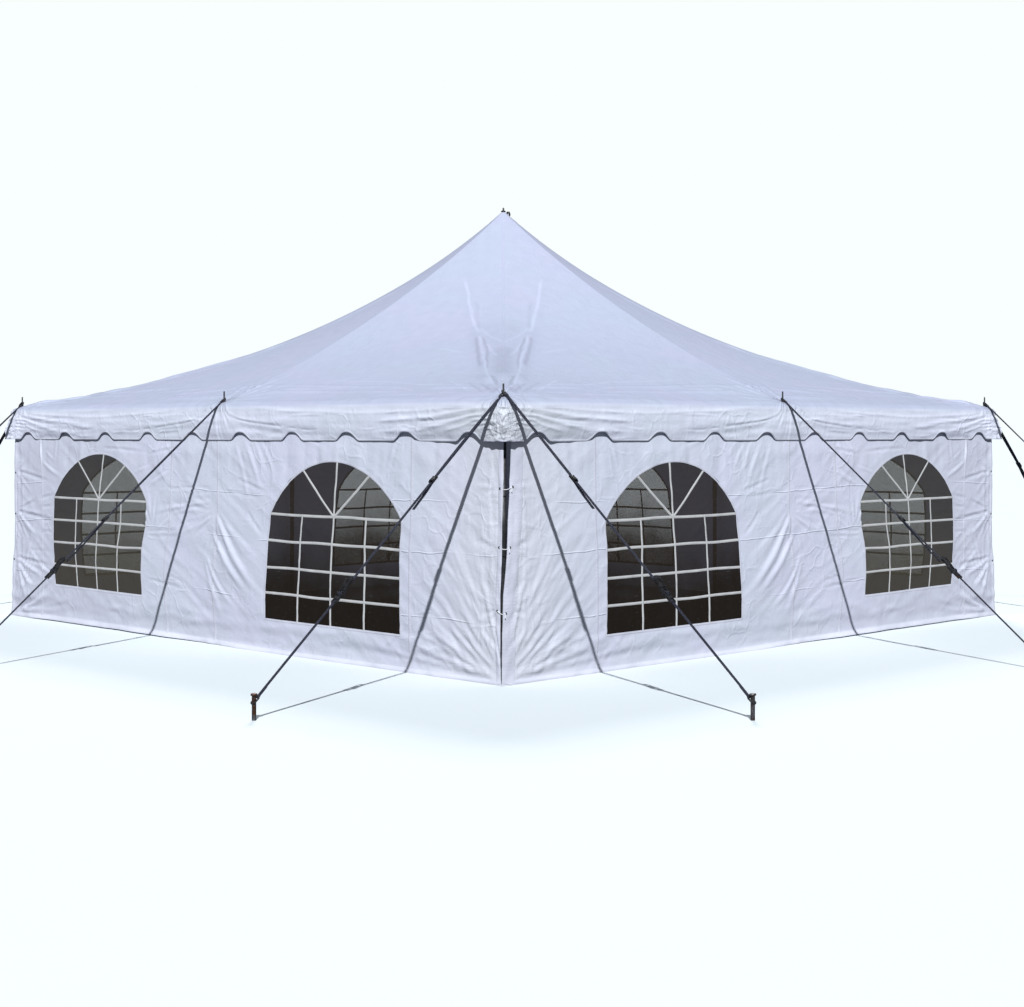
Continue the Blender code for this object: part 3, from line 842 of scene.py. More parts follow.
class NodeTree:
    """A material's node tree, with short calls to add and join nodes."""

    def __init__(self, name: str) -> None:
        """Starts a material with its shader and its two coordinates."""
        self.material = bpy.data.materials.new(name)
        self.material.use_nodes = True
        self.tree = self.material.node_tree
        self.tree.nodes.clear()
        output = self.tree.nodes.new("ShaderNodeOutputMaterial")
        self.shader = self.tree.nodes.new("ShaderNodeBsdfPrincipled")
        self.tree.links.new(self.shader.outputs["BSDF"], output.inputs["Surface"])
        self.object_place = self.add("ShaderNodeTexCoord", {}, "Object")
        self.cloth_place = self.add("ShaderNodeTexCoord", {}, "UV")

    def feed(self, node: bpy.types.Node, key: str | int, value: object) -> None:
        """Joins a socket to a signal, or sets its value."""
        if isinstance(value, Signal):
            self.tree.links.new(value.socket, node.inputs[key])
        else:
            node.inputs[key].default_value = value

    def add(self, kind: str, inputs: dict[str | int, object], output: str | int = 0,
            **settings: object) -> Signal:
        """Adds a node with its settings and inputs, and returns one of its outputs."""
        node = self.tree.nodes.new(kind)
        for key, value in settings.items():
            setattr(node, key, value)
        for key, value in inputs.items():
            self.feed(node, key, value)
        return Signal(self, node.outputs[output])

    def math(self, operation: str, *values: object) -> Signal:
        """Returns the result of a Math node."""
        return self.add("ShaderNodeMath", dict(enumerate(values)), operation=operation)

    def vector(self, operation: str, *values: object, output: str | int = 0) -> Signal:
        """Returns the result of a Vector Math node."""
        return self.add("ShaderNodeVectorMath", dict(enumerate(values)), output, operation=operation)

    def noise(self, place: Signal, scale: float, detail: float = 2.0, distortion: float = 0.0,
              output: int = 0) -> Signal:
        """Returns a noise texture's value, or its colour where the output is 1."""
        inputs = {"Vector": place, "Scale": scale, "Detail": detail, "Distortion": distortion}
        return self.add("ShaderNodeTexNoise", inputs, output)

    def span(self, value: Signal, low: float, high: float, start: float = 0.0, stop: float = 1.0) -> Signal:
        """Returns a value mapped smoothly from one span to another."""
        return self.add("ShaderNodeMapRange", dict(enumerate((value, low, high, start, stop))),
                        interpolation_type="SMOOTHSTEP")

    def line(self, value: Signal, inner: float, outer: float) -> Signal:
        """Returns 1 within an inner distance of 0, falling to 0 at an outer one."""
        return self.span(abs(value), inner, outer, 1.0, 0.0)

    def blend(self, share: Signal, first: Signal | Colour, second: Signal | Colour) -> Signal:
        """Returns a mix of two colours."""
        first, second = ((*paint, 1.0) if isinstance(paint, tuple) else paint for paint in (first, second))
        return self.add("ShaderNodeMix", {0: share, 6: first, 7: second}, 2, data_type="RGBA")

    def split(self, place: Signal) -> list[Signal]:
        """Returns the three parts of a vector."""
        whole = self.add("ShaderNodeSeparateXYZ", {0: place})
        return [Signal(self, socket) for socket in whole.socket.node.outputs]

    def scaled(self, place: Signal, scale: tuple[float, float, float]) -> Signal:
        """Returns a vector stretched along its axes."""
        return self.add("ShaderNodeMapping", {"Vector": place, "Scale": scale})

    def bump(self, height: Signal, distance: float, normal: Signal | None = None) -> Signal:
        """Returns a bumped normal, on top of another where it is given one."""
        inputs = {"Height": height, "Distance": distance, "Strength": 1.0}
        return self.add("ShaderNodeBump", inputs | ({"Normal": normal} if normal else {}))

    def joined(self, first: Signal, second: Signal) -> Signal:
        """Returns a vector of two parts."""
        return self.add("ShaderNodeCombineXYZ", {0: first, 1: second})

    def stroke(self, place: Signal, start: Pair, end: Pair, width: float) -> Signal:
        """Returns 1 along a line between two points, fading to 0 at its ends and at its half width."""
        run = Vector(end) - Vector(start)
        away = self.vector("SUBTRACT", place, (*start, 0.0))
        share = self.vector("DOT_PRODUCT", away, (*(run / run.length_squared), 0.0), output="Value")
        off = self.vector("DOT_PRODUCT", away, (-run.y / run.length, run.x / run.length, 0.0), output="Value")
        return self.line(share - 0.5, 0.40, 0.58) * self.line(off, 0.0, width)

    def rays(self, place: Signal, centre: Pair, reach: float) -> Signal:
        """Returns uneven rays round a point, from -0.5 to 0.5 near it and 0 beyond its reach."""
        away = self.vector("SUBTRACT", place, (*centre, 0.0))
        first, second, _ = self.split(away)
        radius = self.vector("LENGTH", away, output="Value")
        wave = self.noise(self.joined(self.math("ARCTAN2", second, first) * 8.0, radius * 2.0), 1.0, 1.0)
        return (wave - 0.5) * self.line(radius, 0.06, reach)

    def shade(self, **values: object) -> bpy.types.Material:
        """Sets the shader's inputs and returns the material."""
        names = {"colour": "Base Color", "sheen": "Sheen Weight", "specular": "Specular IOR Level"}
        for key, value in values.items():
            self.feed(self.shader, names.get(key, key.title()), value)
        return self.material


# Strokes of painted shade (negative strength) and painted highlight (positive strength) up the hips, standing in
# for the shading of creases: half width in millimetres, strength, and points from the middle of the tent.
HIP_SHADE_STROKES = (
    (22, .13, ((.811, .368), (1.219, .86), (1.485, 1.205))), (30, -.07, ((1.033, .723), (1.437, 1.163))),
    (22, .07, ((1.4, 1.12), (1.52, 1.37), (1.59, 1.586))),
    (22, -.13, ((1.585, 1.285), (1.841, 1.579), (2.109, 1.877))),
    (20, .12, ((1.566, 1.305), (1.948, 1.749), (2.236, 2.078))),
    (20, -.15, ((1.571, 1.34), (1.768, 1.601), (2.201, 2.05))), (22, .09, ((1.662, 1.486), (1.869, 1.799))),
    (90, -.1, ((1.7, 1.66), (2.26, 2.251))), (260, -.05, ((1.25, 1.15), (2.35, 2.3))),
    (18, .09, ((2.236, 2.078), (2.6, 2.5))), (20, -.16, ((2.34, 2.233), (2.646, 2.595))),
    (18, -.13, ((2.58, 2.367), (2.8, 2.69))), (18, .09, ((2.48, 1.96), (2.796, 2.485))),
    (20, -.1, ((2.54, 2.2), (2.8, 2.6))), (22, .06, ((1.832, 1.157), (1.862, 1.45))),
    (14, .08, ((2.553, .737), (2.551, 1.48), (2.605, 1.822))), (12, .08, ((2.671, 1.597), (2.761, 1.891))),
)


@dataclass(frozen=True)
class VinylFinish:
    """White coated cloth: a fine weave under a soft gloss, with crinkles and packing creases. Painted shade
    darkens its packing creases, and on the roof painted shade and highlights run up the hips.

    Attributes:
        name: The material's name.
        colour: Its main colour.
        cool: The colour of its cooler patches.
        crinkle: The height of its crinkles.
        creases: The heights of its packing creases, where it has them. Their lines are also darkened in the
            colour, as painted shade.
        roughness: Its roughness.
        foot_darkening: How much darker it turns towards its lowest edge.
        rim: The colour that it takes over the shoulder, where it has one. It is painted light, brighter than its
            own colour, so that the shoulder under the roof's softer lamp looks as lit as the valance.
        gloss: How strongly it reflects.
        strained: True for the roof, whose cloth is creased from the corner pins up the hips. The shading of
            these creases, and of rays round the pins, is painted into its colour as painted shade and painted
            highlights.
        ends: The colours that it takes towards the nearer and the farther end of a side, where it has them. On
            the valance the nearer end turns greyer and darker, as painted shade of its crumpled corners; on the
            wall it turns greyer there. Towards the farther end both turn darker.
        crumple: How crumpled it is at the corners.
    """

    name: str
    colour: Colour
    cool: Colour
    crinkle: float
    creases: tuple[float, ...] = ()
    roughness: float = 0.46
    foot_darkening: float = 0.0
    rim: Colour | None = None
    gloss: float = 0.42
    strained: bool = False
    ends: tuple[Colour, Colour] | None = None
    crumple: float = 0.0

    def strain(self, nodes: NodeTree) -> tuple[Signal, Signal]:
        """Returns the painted shade and painted highlights of the creases that the pins pull up the hips and of
        the rays round the pins, and the rays themselves.
        """
        drift = nodes.noise(nodes.object_place, 3.5, output=1)
        drift = nodes.vector("MULTIPLY", drift, (0.04, 0.04, 0.0))
        sizes = [abs(part) for part in nodes.split(nodes.object_place)[:2]]
        place = nodes.joined(nodes.math("MAXIMUM", *sizes), nodes.math("MINIMUM", *sizes))
        rough = nodes.vector("SUBTRACT", nodes.vector("ADD", place, drift), (0.020, 0.020, 0.0))
        line = SIZE.pin_line
        rays = nodes.rays(place, (line, line), 0.75) + nodes.rays(place, (line, 0.0), 0.25)
        shade = rays * 0.22
        for width, amount, points in HIP_SHADE_STROKES:
            for start, end in zip(points, points[1:]):
                shade = nodes.math("MULTIPLY_ADD", nodes.stroke(rough, start, end, width * MM), amount, shade)
        return shade, rays

    def build(self) -> bpy.types.Material:
        """Makes the material and returns it."""
        nodes = NodeTree(self.name)
        cloth = nodes.cloth_place
        along, up, _ = nodes.split(cloth)
        local = nodes.math("WRAP", along, 10.0, -10.0)
        darker = tuple(0.90 * part for part in self.cool)
        colour = nodes.blend(nodes.span(nodes.noise(cloth, 1.1, 2.0, 0.4), 0.35, 0.65), self.colour, self.cool)
        colour = nodes.blend(nodes.span(nodes.noise(cloth, 9.0, 4.0), 0.3, 0.7, 0.0, 0.28), colour, darker)
        warp = nodes.vector("MULTIPLY", nodes.noise(cloth, 5.0, output=1), (0.14, 0.14, 0.14))
        cells = nodes.add("ShaderNodeTexVoronoi", {"Vector": nodes.vector("ADD", cloth, warp), "Scale": 6.5},
                          feature="DISTANCE_TO_EDGE")
        here = nodes.span(nodes.noise(cloth, 2.3, 1.0), 0.42, 0.66)
        height = nodes.line(cells, 0.0, 0.11) * here * 0.28
        height = height + nodes.noise(cloth, 8.0, 3.0, 0.8) * 0.8 + nodes.noise(cloth, 34.0, 4.0, 0.3) * 0.20
        if self.crumple:
            held = nodes.span(abs(local), 2.78, 2.98, 0.0, self.crumple)
            height = nodes.noise(cloth, 42.0, 1.5, 0.8) * held + height * (held + 1.0)
        normal = nodes.bump(height, self.crinkle)
        if self.creases:
            wobble = nodes.noise(cloth, 3.0) * 0.05 + up
            first, *others = [nodes.line(wobble - (place + 0.025), 0.0, 0.007) for place in self.creases]
            broken = nodes.span(nodes.noise(nodes.scaled(cloth, (1.6, 4.0, 1.0)), 1.0), 0.44, 0.56)
            lines = sum(others, first) * broken
            normal = nodes.bump(lines, 0.0022, normal)
            # Painted shade: the crease lines are darkened in the colour.
            colour = nodes.blend(lines * 0.22, colour, darker)
        if self.foot_darkening:
            # Darker towards the foot, fading out about 19 cm up; dust here is only the share of this darkening.
            dust = nodes.span(nodes.noise(cloth, 16.0, 4.0) * 0.07 + up, 0.05, 0.19, self.foot_darkening, 0.0)
            colour = nodes.blend(dust, colour, (0.46, 0.475, 0.55))
        # Towards the nearer end the colour turns to the first end colour, on the valance as painted shade of its
        # crumpled corners; towards the farther end it turns darker.
        if self.ends:
            colour = nodes.blend(nodes.span(local, 2.0, 3.05, 0.0, 0.95), colour, self.ends[0])
            colour = nodes.blend(nodes.span(local * -1.0, 0.5, 1.9, 0.0, 0.9), colour, self.ends[1])
        if self.strained:
            shade, rays = self.strain(nodes)
            normal = nodes.bump(rays, 0.014, normal)
            # Painted shade and painted highlights: the colour is scaled along the hip creases and round the
            # pins.
            colour = nodes.add("ShaderNodeVectorMath", {0: colour, "Scale": shade + 1.0}, operation="SCALE")
        # Painted light: over the shoulder the colour brightens to the rim colour, to make up for the roof's
        # softer lamp.
        if self.rim:
            reach, line = nodes.math("MAXIMUM", abs(along), abs(up)), SIZE.pin_line
            colour = nodes.blend(nodes.span(reach, line + 0.050, line + 0.118), colour, self.rim)
        weave = nodes.math("SINE", along * 3900.0) * nodes.math("SINE", up * 3900.0)
        rough = nodes.span(nodes.noise(cloth, 13.0, 3.0), 0.3, 0.7, self.roughness - 0.06, self.roughness + 0.08)
        return nodes.shade(colour=colour, roughness=rough, normal=nodes.bump(weave, 0.00003, normal),
                           specular=self.gloss)


@dataclass(frozen=True)
class TapeFinish:
    """White sewn tape, hems and bindings, with a row of stitches near each edge."""

    name: str
    colour: Colour
    thread: Colour = (0.50, 0.52, 0.60)

    def build(self) -> bpy.types.Material:
        """Makes the material and returns it."""
        nodes = NodeTree(self.name)
        cloth = nodes.cloth_place
        along, inset, _ = nodes.split(cloth)
        dash = nodes.line(nodes.math("FRACT", along * 150.0) - 0.5, 0.30, 0.40)
        stitch = dash * nodes.line(inset - 0.0035, 0.0004, 0.0010)
        puckers = nodes.noise(nodes.scaled(cloth, (90.0, 30.0, 1.0)), 1.0, 3.0)
        faded = nodes.span(nodes.noise(cloth, 6.0, 3.0), 0.3, 0.7, 0.0, 0.5)
        colour = nodes.blend(faded, self.colour, tuple(0.90 * part for part in self.colour))
        colour = nodes.blend(stitch * 0.8, colour, self.thread)
        normal = nodes.bump(stitch, -0.0006, nodes.bump(puckers, 0.0016))
        rough = nodes.span(nodes.noise(cloth, 40.0), 0.3, 0.7, 0.42, 0.56)
        return nodes.shade(colour=colour, roughness=rough, normal=normal, specular=0.42)


@dataclass(frozen=True)
class FilmFinish:
    """Smoky clear window film with a soft ripple. Towards the ground it takes its lower colour and is less
    clear: painted shade of the dim inside seen through it.
    """

    name: str
    upper: Colour
    lower: Colour
    opacity: Pair

    def build(self) -> bpy.types.Material:
        """Makes the material and returns it."""
        nodes = NodeTree(self.name)
        painted_shade_height = nodes.noise(nodes.object_place, 2.6, 3.0) * 0.5 + nodes.split(nodes.object_place)[2]
        colour = nodes.blend(nodes.span(painted_shade_height, 0.65, 1.35), self.lower, self.upper)
        clear = nodes.span(painted_shade_height, 0.65, 1.20, self.opacity[1], self.opacity[0])
        creased = nodes.noise(nodes.scaled(nodes.cloth_place, (6.0, 3.0, 1.0)), 1.0, 4.0, 1.0)
        scuffed = nodes.noise(nodes.scaled(nodes.cloth_place, (14.0, 90.0, 1.0)), 1.0, 3.0)
        scuffs = nodes.span(scuffed, 0.62, 0.80)
        colour = nodes.blend(scuffs * 0.25, colour, (0.20, 0.21, 0.23))
        return nodes.shade(colour=colour, roughness=scuffs * 0.3 + 0.12, normal=nodes.bump(creased, 0.012),
                           alpha=clear, specular=0.45)


@dataclass(frozen=True)
class WebbingFinish:
    """Dark woven polyester webbing, with ribs, a slight sheen and dusty edges."""

    name: str
    colour: Colour
    dust: Colour

    def build(self) -> bpy.types.Material:
        """Makes the material and returns it."""
        nodes = NodeTree(self.name)
        along, round_it, _ = nodes.split(nodes.cloth_place)
        twill = nodes.math("SINE", along * 2200.0 + round_it * 2600.0)
        weave = twill * 0.4 + abs(nodes.math("SINE", round_it * 1250.0))
        worn = nodes.span(nodes.noise(nodes.cloth_place, 22.0, 4.0), 0.42, 0.74)
        colour = nodes.blend(nodes.span(weave, 0.0, 1.3, 0.0, 0.35), self.colour, self.dust)
        colour = nodes.blend(worn * 0.5, colour, self.dust)
        return nodes.shade(colour=colour, roughness=0.72, normal=nodes.bump(weave, 0.00025), sheen=0.10,
                           specular=0.2)


@dataclass(frozen=True)
class SteelFinish:
    """Steel with a spangled or worn coat, a brighter colour where it is rubbed, and rust where it is gone."""

    name: str
    colour: Colour
    bright: Colour
    rust: float
    metallic: float
    roughness: float = 0.45

    def build(self) -> bpy.types.Material:
        """Makes the material and returns it."""
        nodes = NodeTree(self.name)
        place = nodes.object_place
        cells = nodes.add("ShaderNodeTexVoronoi", {"Vector": place, "Scale": 85.0})
        worn = nodes.span(nodes.noise(place, 34.0, 5.0, 0.4), 0.48, 0.66)
        colour = nodes.blend(nodes.span(cells, 0.0, 0.9, 0.0, 0.35), self.colour, self.bright)
        colour = nodes.blend(worn * 0.45, colour, self.bright)
        if self.rust:
            patches = nodes.noise(place, 21.0, 6.0, 0.8)
            rusty = nodes.span(patches, 0.72 - 0.3 * self.rust, 0.80 - 0.2 * self.rust)
            colour = nodes.blend(rusty, colour, (0.115, 0.050, 0.022))
        rough = nodes.span(nodes.noise(place, 60.0, 3.0), 0.3, 0.7, self.roughness - 0.08, self.roughness + 0.14)
        normal = nodes.bump(nodes.noise(place, 240.0, 4.0), 0.0003)
        return nodes.shade(colour=colour, roughness=rough, normal=normal, metallic=self.metallic)


FINISHES = (
    # The roof's colours are darker than the walls' white: painted shade for a roof that faces the key light more
    # squarely.
    VinylFinish("roof_vinyl", (0.512, 0.540, 0.690), (0.496, 0.544, 0.680), 0.0035, roughness=0.60,
                rim=(0.800, 0.845, 0.960), gloss=0.25, strained=True),
    VinylFinish("roof_tape", (0.506, 0.534, 0.684), (0.490, 0.538, 0.674), 0.0020, roughness=0.60, gloss=0.25,
                strained=True),
    VinylFinish("valance_vinyl", (0.722, 0.750, 0.885), (0.700, 0.748, 0.855), 0.0060,
                ends=((0.600, 0.630, 0.690), (0.705, 0.735, 0.865)), crumple=1.7),
    VinylFinish("wall_vinyl", (0.705, 0.720, 0.870), (0.680, 0.730, 0.840), 0.0045, (1.14, 0.81, 0.38),
                foot_darkening=0.40, ends=((0.715, 0.735, 0.820), (0.640, 0.660, 0.775)), crumple=0.35),
    TapeFinish("sewn_tape", (0.700, 0.722, 0.830)),
    # The near film's colours are darker than the far film's: painted shade of the dim inside seen through it.
    FilmFinish("near_window_film", (0.038, 0.027, 0.018), (0.010, 0.005, 0.000), (0.64, 0.95)),
    FilmFinish("far_window_film", (0.060, 0.052, 0.038), (0.064, 0.055, 0.036), (0.66, 0.82)),
    TapeFinish("window_bar", (0.620, 0.625, 0.625), (0.500, 0.510, 0.520)),
    WebbingFinish("strap_webbing", (0.011, 0.013, 0.027), (0.020, 0.023, 0.042)),
    SteelFinish("galvanised_tube", (0.045, 0.047, 0.050), (0.100, 0.105, 0.110), 0.1, 0.55),
    SteelFinish("stake_steel", (0.060, 0.060, 0.062), (0.30, 0.30, 0.31), 0.75, 0.8, 0.5),
    SteelFinish("ratchet_steel", (0.030, 0.031, 0.034), (0.16, 0.16, 0.17), 0.2, 0.8, 0.42),
    SteelFinish("grommet_metal", (0.030, 0.030, 0.033), (0.10, 0.10, 0.11), 0.0, 0.8, 0.4),
    TapeFinish("tie_cord", (0.74, 0.75, 0.78), (0.60, 0.61, 0.66)))
PAINTS = {paint.name: paint.build() for paint in FINISHES}


@dataclass
class Canopy:
    """The canopy and its four valances, with their seams, binding, patches and grommets."""

    cloth: CanopyCloth
    valance_rows: int = 36

    def place(self, first: Array, second: Array, proud: Array) -> Array:
        """Places points that are given on the canopy's square grid, as seen from above."""
        first, second = np.asarray(first, float), np.asarray(second, float)
        proud = np.broadcast_to(proud, first.shape)
        ring = np.maximum(np.abs(first), np.abs(second))
        upright = np.abs(second) >= np.abs(first)
        points = np.zeros((len(first), 3))
        ways = ((Side.FRONT, upright & (second < 0), first), (Side.BACK, upright & (second >= 0), -first),
                (Side.RIGHT, ~upright & (first > 0), -second), (Side.LEFT, ~upright & (first <= 0), second))
        for side, here, along in ways:
            if here.any():
                line = self.cloth.along_of(along[here])
                points[here] = side.place(*self.cloth.place(line, ring[here] - SIZE.pin_line, proud[here]))
        return points

    def sheet(self) -> bpy.types.Object:
        """Makes the canopy, out to the rim."""
        lines = self.cloth.lines()
        shape, column, row = new_grid(len(lines) - 1, len(lines) - 1)
        move(shape, self.place(lines[column], lines[row], 0.0))
        map_cloth(shape, np.stack([lines[column], lines[row]], axis=1))
        return finish("roof_canopy", shape, "roof_vinyl", ["canopy"])

    def valance(self, side: Side) -> tuple[bpy.types.Object, bpy.types.Object]:
        """Makes one side's valance, from the rim to its notched foot, and the binding along the foot."""
        lines = self.cloth.along_of(self.cloth.lines())
        shape, column, row = new_grid(len(lines) - 1, self.valance_rows)
        along, deep = lines[column], SIZE.rim_height - SIZE.valance_foot
        drop = SIZE.shoulder_run + (deep - notch_height(along)) * (1 - row / self.valance_rows)
        move(shape, side.place(*self.cloth.place(along, drop)))
        side.face_out(shape)
        map_cloth(shape, np.stack([along + 20.0 * side.value[0], drop], axis=1))
        line = np.linspace(-SIZE.half, SIZE.half, 420)
        foot = SIZE.shoulder_run + deep - notch_height(line) - 0.005
        edge = ribbon(np.stack([line, foot], axis=1), 0.011,
                      lambda *flat: side.place(*self.cloth.place(*flat)), 0.0022, 3)
        name = f"{side.label}_valance"
        return (finish(f"{name}_cloth", shape, "valance_vinyl", [name]),
                finish(f"{name}_binding", edge, "sewn_tape", (), "valance_vinyl"))

    def seams(self) -> bpy.types.Object:
        """Makes the tapes over the roof's ridges and hips."""
        parts = []
        reach = resample([(0.0, 0.10), (0.0, SIZE.pin_line - 0.05)], 0.03)[:, 1]
        for side in Side:
            cosine, sine = math.cos(side.angle), math.sin(side.angle)
            for lean, width in ((0.0, 0.028), (1.0, 0.024)):
                turned = [reach * lean * cosine + reach * sine, reach * lean * sine - reach * cosine]
                parts.append(ribbon(np.stack(turned, axis=1), width, self.place, 0.0008))
        return finish("roof_seams", joined(parts), "roof_tape", (), "roof_vinyl")

    def disc(self, centre: Pair, reach: float, proud: float) -> Shape:
        """Makes a round patch on the canopy, with a hole for the pin in its middle."""
        angles, rings, hole = 40, 6, 0.014
        shape, column, row = new_grid(angles, rings)
        turn = (column % angles) / angles * 2 * math.pi
        radius = hole + (reach - hole) * row / rings
        lifted = proud * np.where(row == rings, 0.15, 1.0)
        move(shape, self.place(centre[0] + radius * np.cos(turn), centre[1] + radius * np.sin(turn), lifted))
        map_cloth(shape, np.stack([turn * reach, reach - radius], axis=1))
        bmesh.ops.remove_doubles(shape, verts=shape.verts, dist=1e-6)
        shape.normal_update()
        if sum(face.normal.z for face in shape.faces) < 0:
            bmesh.ops.reverse_faces(shape, faces=shape.faces)
        return shape

    def build(self) -> list[bpy.types.Object]:
        """Makes every piece of the canopy, with its pins' patches and grommets, and returns them."""
        line, peak = SIZE.pin_line, SIZE.peak_height
        pins = [(x * line, y * line) for x in (-1, 0, 1) for y in (-1, 0, 1) if x or y]
        roof, seams = self.sheet(), self.seams()
        patches = [self.disc(pin, 0.045, 0.0018) for pin in pins] + [self.disc((0.0, 0.0), 0.13, 0.0016)]
        parts = []
        cosine, sine = circle(24)
        for first, second in pins:
            height = self.place([first], [second], 0.003)[0, 2] + 0.001
            path = np.stack([first + 0.013 * cosine, second + 0.013 * sine, np.full(24, height)], axis=1)
            parts.append(sweep(path, round_section(0.0035), (0, 0, 1), True))
        parts.append(lathe([(0.0, -0.010), (0.010, -0.010), (0.019, -0.010), (0.021, -0.005), (0.019, 0.000),
                            (0.014, 0.003), (0.0095, 0.004), (0.0, 0.004)], (0, 0, peak), 36))
        out = (0.042 + 0.011 * cosine) / math.sqrt(2)
        parts.append(sweep(np.stack([out, out, peak - 0.030 + 0.020 * sine], axis=1), round_section(0.0085),
                           (1, -1, 0), True))
        extra = [seams, finish("roof_patches", joined(patches), "roof_tape", (), "roof_vinyl"),
                 finish("canopy_grommets", joined(parts), "grommet_metal", smooth=50)]
        poles = [f"{name}_pole" for name in ("centre", *(side.label for side in Side), *CORNERS)]
        pieces = [roof, *extra]
        for side in Side:
            valance, binding = self.valance(side)
            pieces += [valance, binding]
        return pieces


HUNG_EDGE = ((0.0, -0.020), (0.12, -0.027), (0.57, -0.026), (0.84, -0.012), (1.23, -0.004), (1.75, 0.003))
LAPPED_EDGE = ((0.0, 0.018), (0.12, 0.012), (0.30, 0.012), (0.57, -0.001), (0.84, -0.032), (1.23, -0.054),
               (1.75, -0.080))


@dataclass
class WindowWall:
    """One side's wall, with its film, window bars, seams and hems.

    Attributes:
        side: The side that it closes.
        cloth: The shape of the cloth.
        far_edge: Heights, and how far the wall reaches past its own plane there, at the farther window's end.
        mesh_step: The size of its faces.
        seams: How far its upright seams are from the nearer corner.
        bar_heights: The heights of the level window bars.
        bar_offsets: The places of the upright bars from a window's middle.
        ray_angles: The angles of the bars of the arch, in degrees.
        bar_width: The width of a bar.
    """

    side: Side
    cloth: WallCloth
    far_edge: tuple[Pair, ...] = ((0.0, -0.024), (1.75, -0.060))
    mesh_step: float = 0.0135
    seams: tuple[float, ...] = (0.86, 3.04, 3.62, 5.60)
    bar_heights: tuple[float, ...] = (1.005, 0.812, 0.620, 0.431)
    bar_offsets: tuple[float, ...] = (-0.362, 0.0, 0.364)
    ray_angles: tuple[float, ...] = (137.0, 81.5, 36.0)
    bar_width: float = 0.0185

    def place(self, along: Array, up: Array, proud: Array) -> Array:
        """Places points of the wall."""
        return self.side.place(*self.cloth.place(along, np.maximum(up, 0.0), proud))

    def reach(self, up: Array) -> list[Array]:
        """Returns how far the wall reaches at the nearer and the farther end at each height."""
        near_edge = LAPPED_EDGE if self.side.hand < 0 else HUNG_EDGE
        return [SIZE.wall_plane + np.clip(self.cloth.lift(np.full_like(up, end), up), -0.006, 0.03)
                + np.interp(up, *np.array(edge).T) for end, edge in ((3.02, near_edge), (-3.02, self.far_edge))]

    def spaced(self, stops: Sequence[float]) -> Array:
        """Returns grid lines that pass through each stop."""
        lines = [np.array(stops[:1])]
        for low, high in zip(stops, stops[1:]):
            lines.append(np.linspace(low, high, max(1, round((high - low) / self.mesh_step)) + 1)[1:])
        return np.concatenate(lines)

    def sheet(self) -> bpy.types.Object:
        """Makes the wall with its two windows cut out."""
        half, edge, top = SIZE.window_width / 2, SIZE.half, SIZE.spring + SIZE.rise
        near, far = SIZE.window_centres
        columns = self.spaced([-1.0 - edge, far - half, far + half, near - half, near + half, edge + 1.0])
        columns = columns[np.abs(columns) <= edge]
        rows = self.spaced([0.0, 0.10, SIZE.sill, SIZE.spring, top, SIZE.wall_top])
        shape, column, row = new_grid(len(columns) - 1, len(rows) - 1)
        along, up = columns[column], rows[row]
        near_reach, far_reach = self.reach(up)
        outer, inner = near + half, far - half
        grown = outer + (along - outer) / (columns[-1] - outer) * (near_reach - outer)
        shrunk = inner + (along - inner) / (columns[0] - inner) * (-far_reach - inner)
        along = np.where(along > outer, grown, np.where(along < inner, shrunk, along))
        move(shape, np.stack([along, up, np.zeros_like(up)], axis=1))
        radius, middle = SIZE.arch_radius, SIZE.arch_centre

        def inside(x: float, z: float) -> bool:
            """Tells whether a flat point lies in a window."""
            away = abs(x - (near if x > 0 else far))
            return away <= half and z >= SIZE.sill and (z < SIZE.spring or math.hypot(away, z - middle) < radius)

        gone = [face for face in shape.faces if inside(*face.calc_center_median()[:2])]
        bmesh.ops.delete(shape, geom=gone, context="FACES")
        for vert in shape.verts:
            if vert.is_boundary and SIZE.spring + 1e-4 < vert.co.y < SIZE.wall_top - 0.1:
                centre = near if vert.co.x > 0 else far
                away = Vector((vert.co.x - centre, vert.co.y - middle))
                if abs(away.x) < half + 0.01 and abs(away.length - radius) < 2 * self.mesh_step:
                    away *= radius / away.length
                    vert.co.x, vert.co.y = centre + away.x, middle + away.y
        flat = np.array([vert.co[:2] for vert in shape.verts])
        move(shape, self.place(*flat.T, 0.0))
        self.side.face_out(shape)
        map_cloth(shape, flat + np.array([20.0 * self.side.value[0], 0.0]))
        name = f"{self.side.label}_wall"
        return finish(f"{name}_cloth", shape, "wall_vinyl", [name])

    def trim(self) -> bpy.types.Object:
        """Makes the wall's seams, end hems, foot hem and the tape sewn round each window."""
        heights = np.linspace(0.008, SIZE.wall_top - 0.02, 90)
        near_reach, far_reach = self.reach(heights)
        wide = 0.040 if self.side.hand > 0 else 0.115
        parts = []
        for away in self.seams:
            along = SIZE.half - away
            path = resample([(along, 0.02), (along + 0.012, 0.9), (along, SIZE.wall_top - 0.12)], 0.02)
            parts.append(ribbon(path, 0.026, self.place))
        for edge, width in ((near_reach - wide / 2 - 0.0005, wide), (0.0205 - far_reach, 0.040)):
            parts.append(ribbon(np.stack([edge, heights], axis=1), width, self.place, 0.0024, 6))
        parts.append(ribbon(resample([(-3.0, 0.016), (2.99, 0.016)], 0.02), 0.030, self.place, 0.0020))
        for centre in SIZE.window_centres:
            ring = resample(window_outline(centre, 0.0085), 0.018, True)[:-1]
            parts.append(ribbon(ring, 0.018, self.place, 0.0011, 4, True))
        return finish(f"{self.side.label}_wall_seams", joined(parts), "sewn_tape", (), "wall_vinyl")

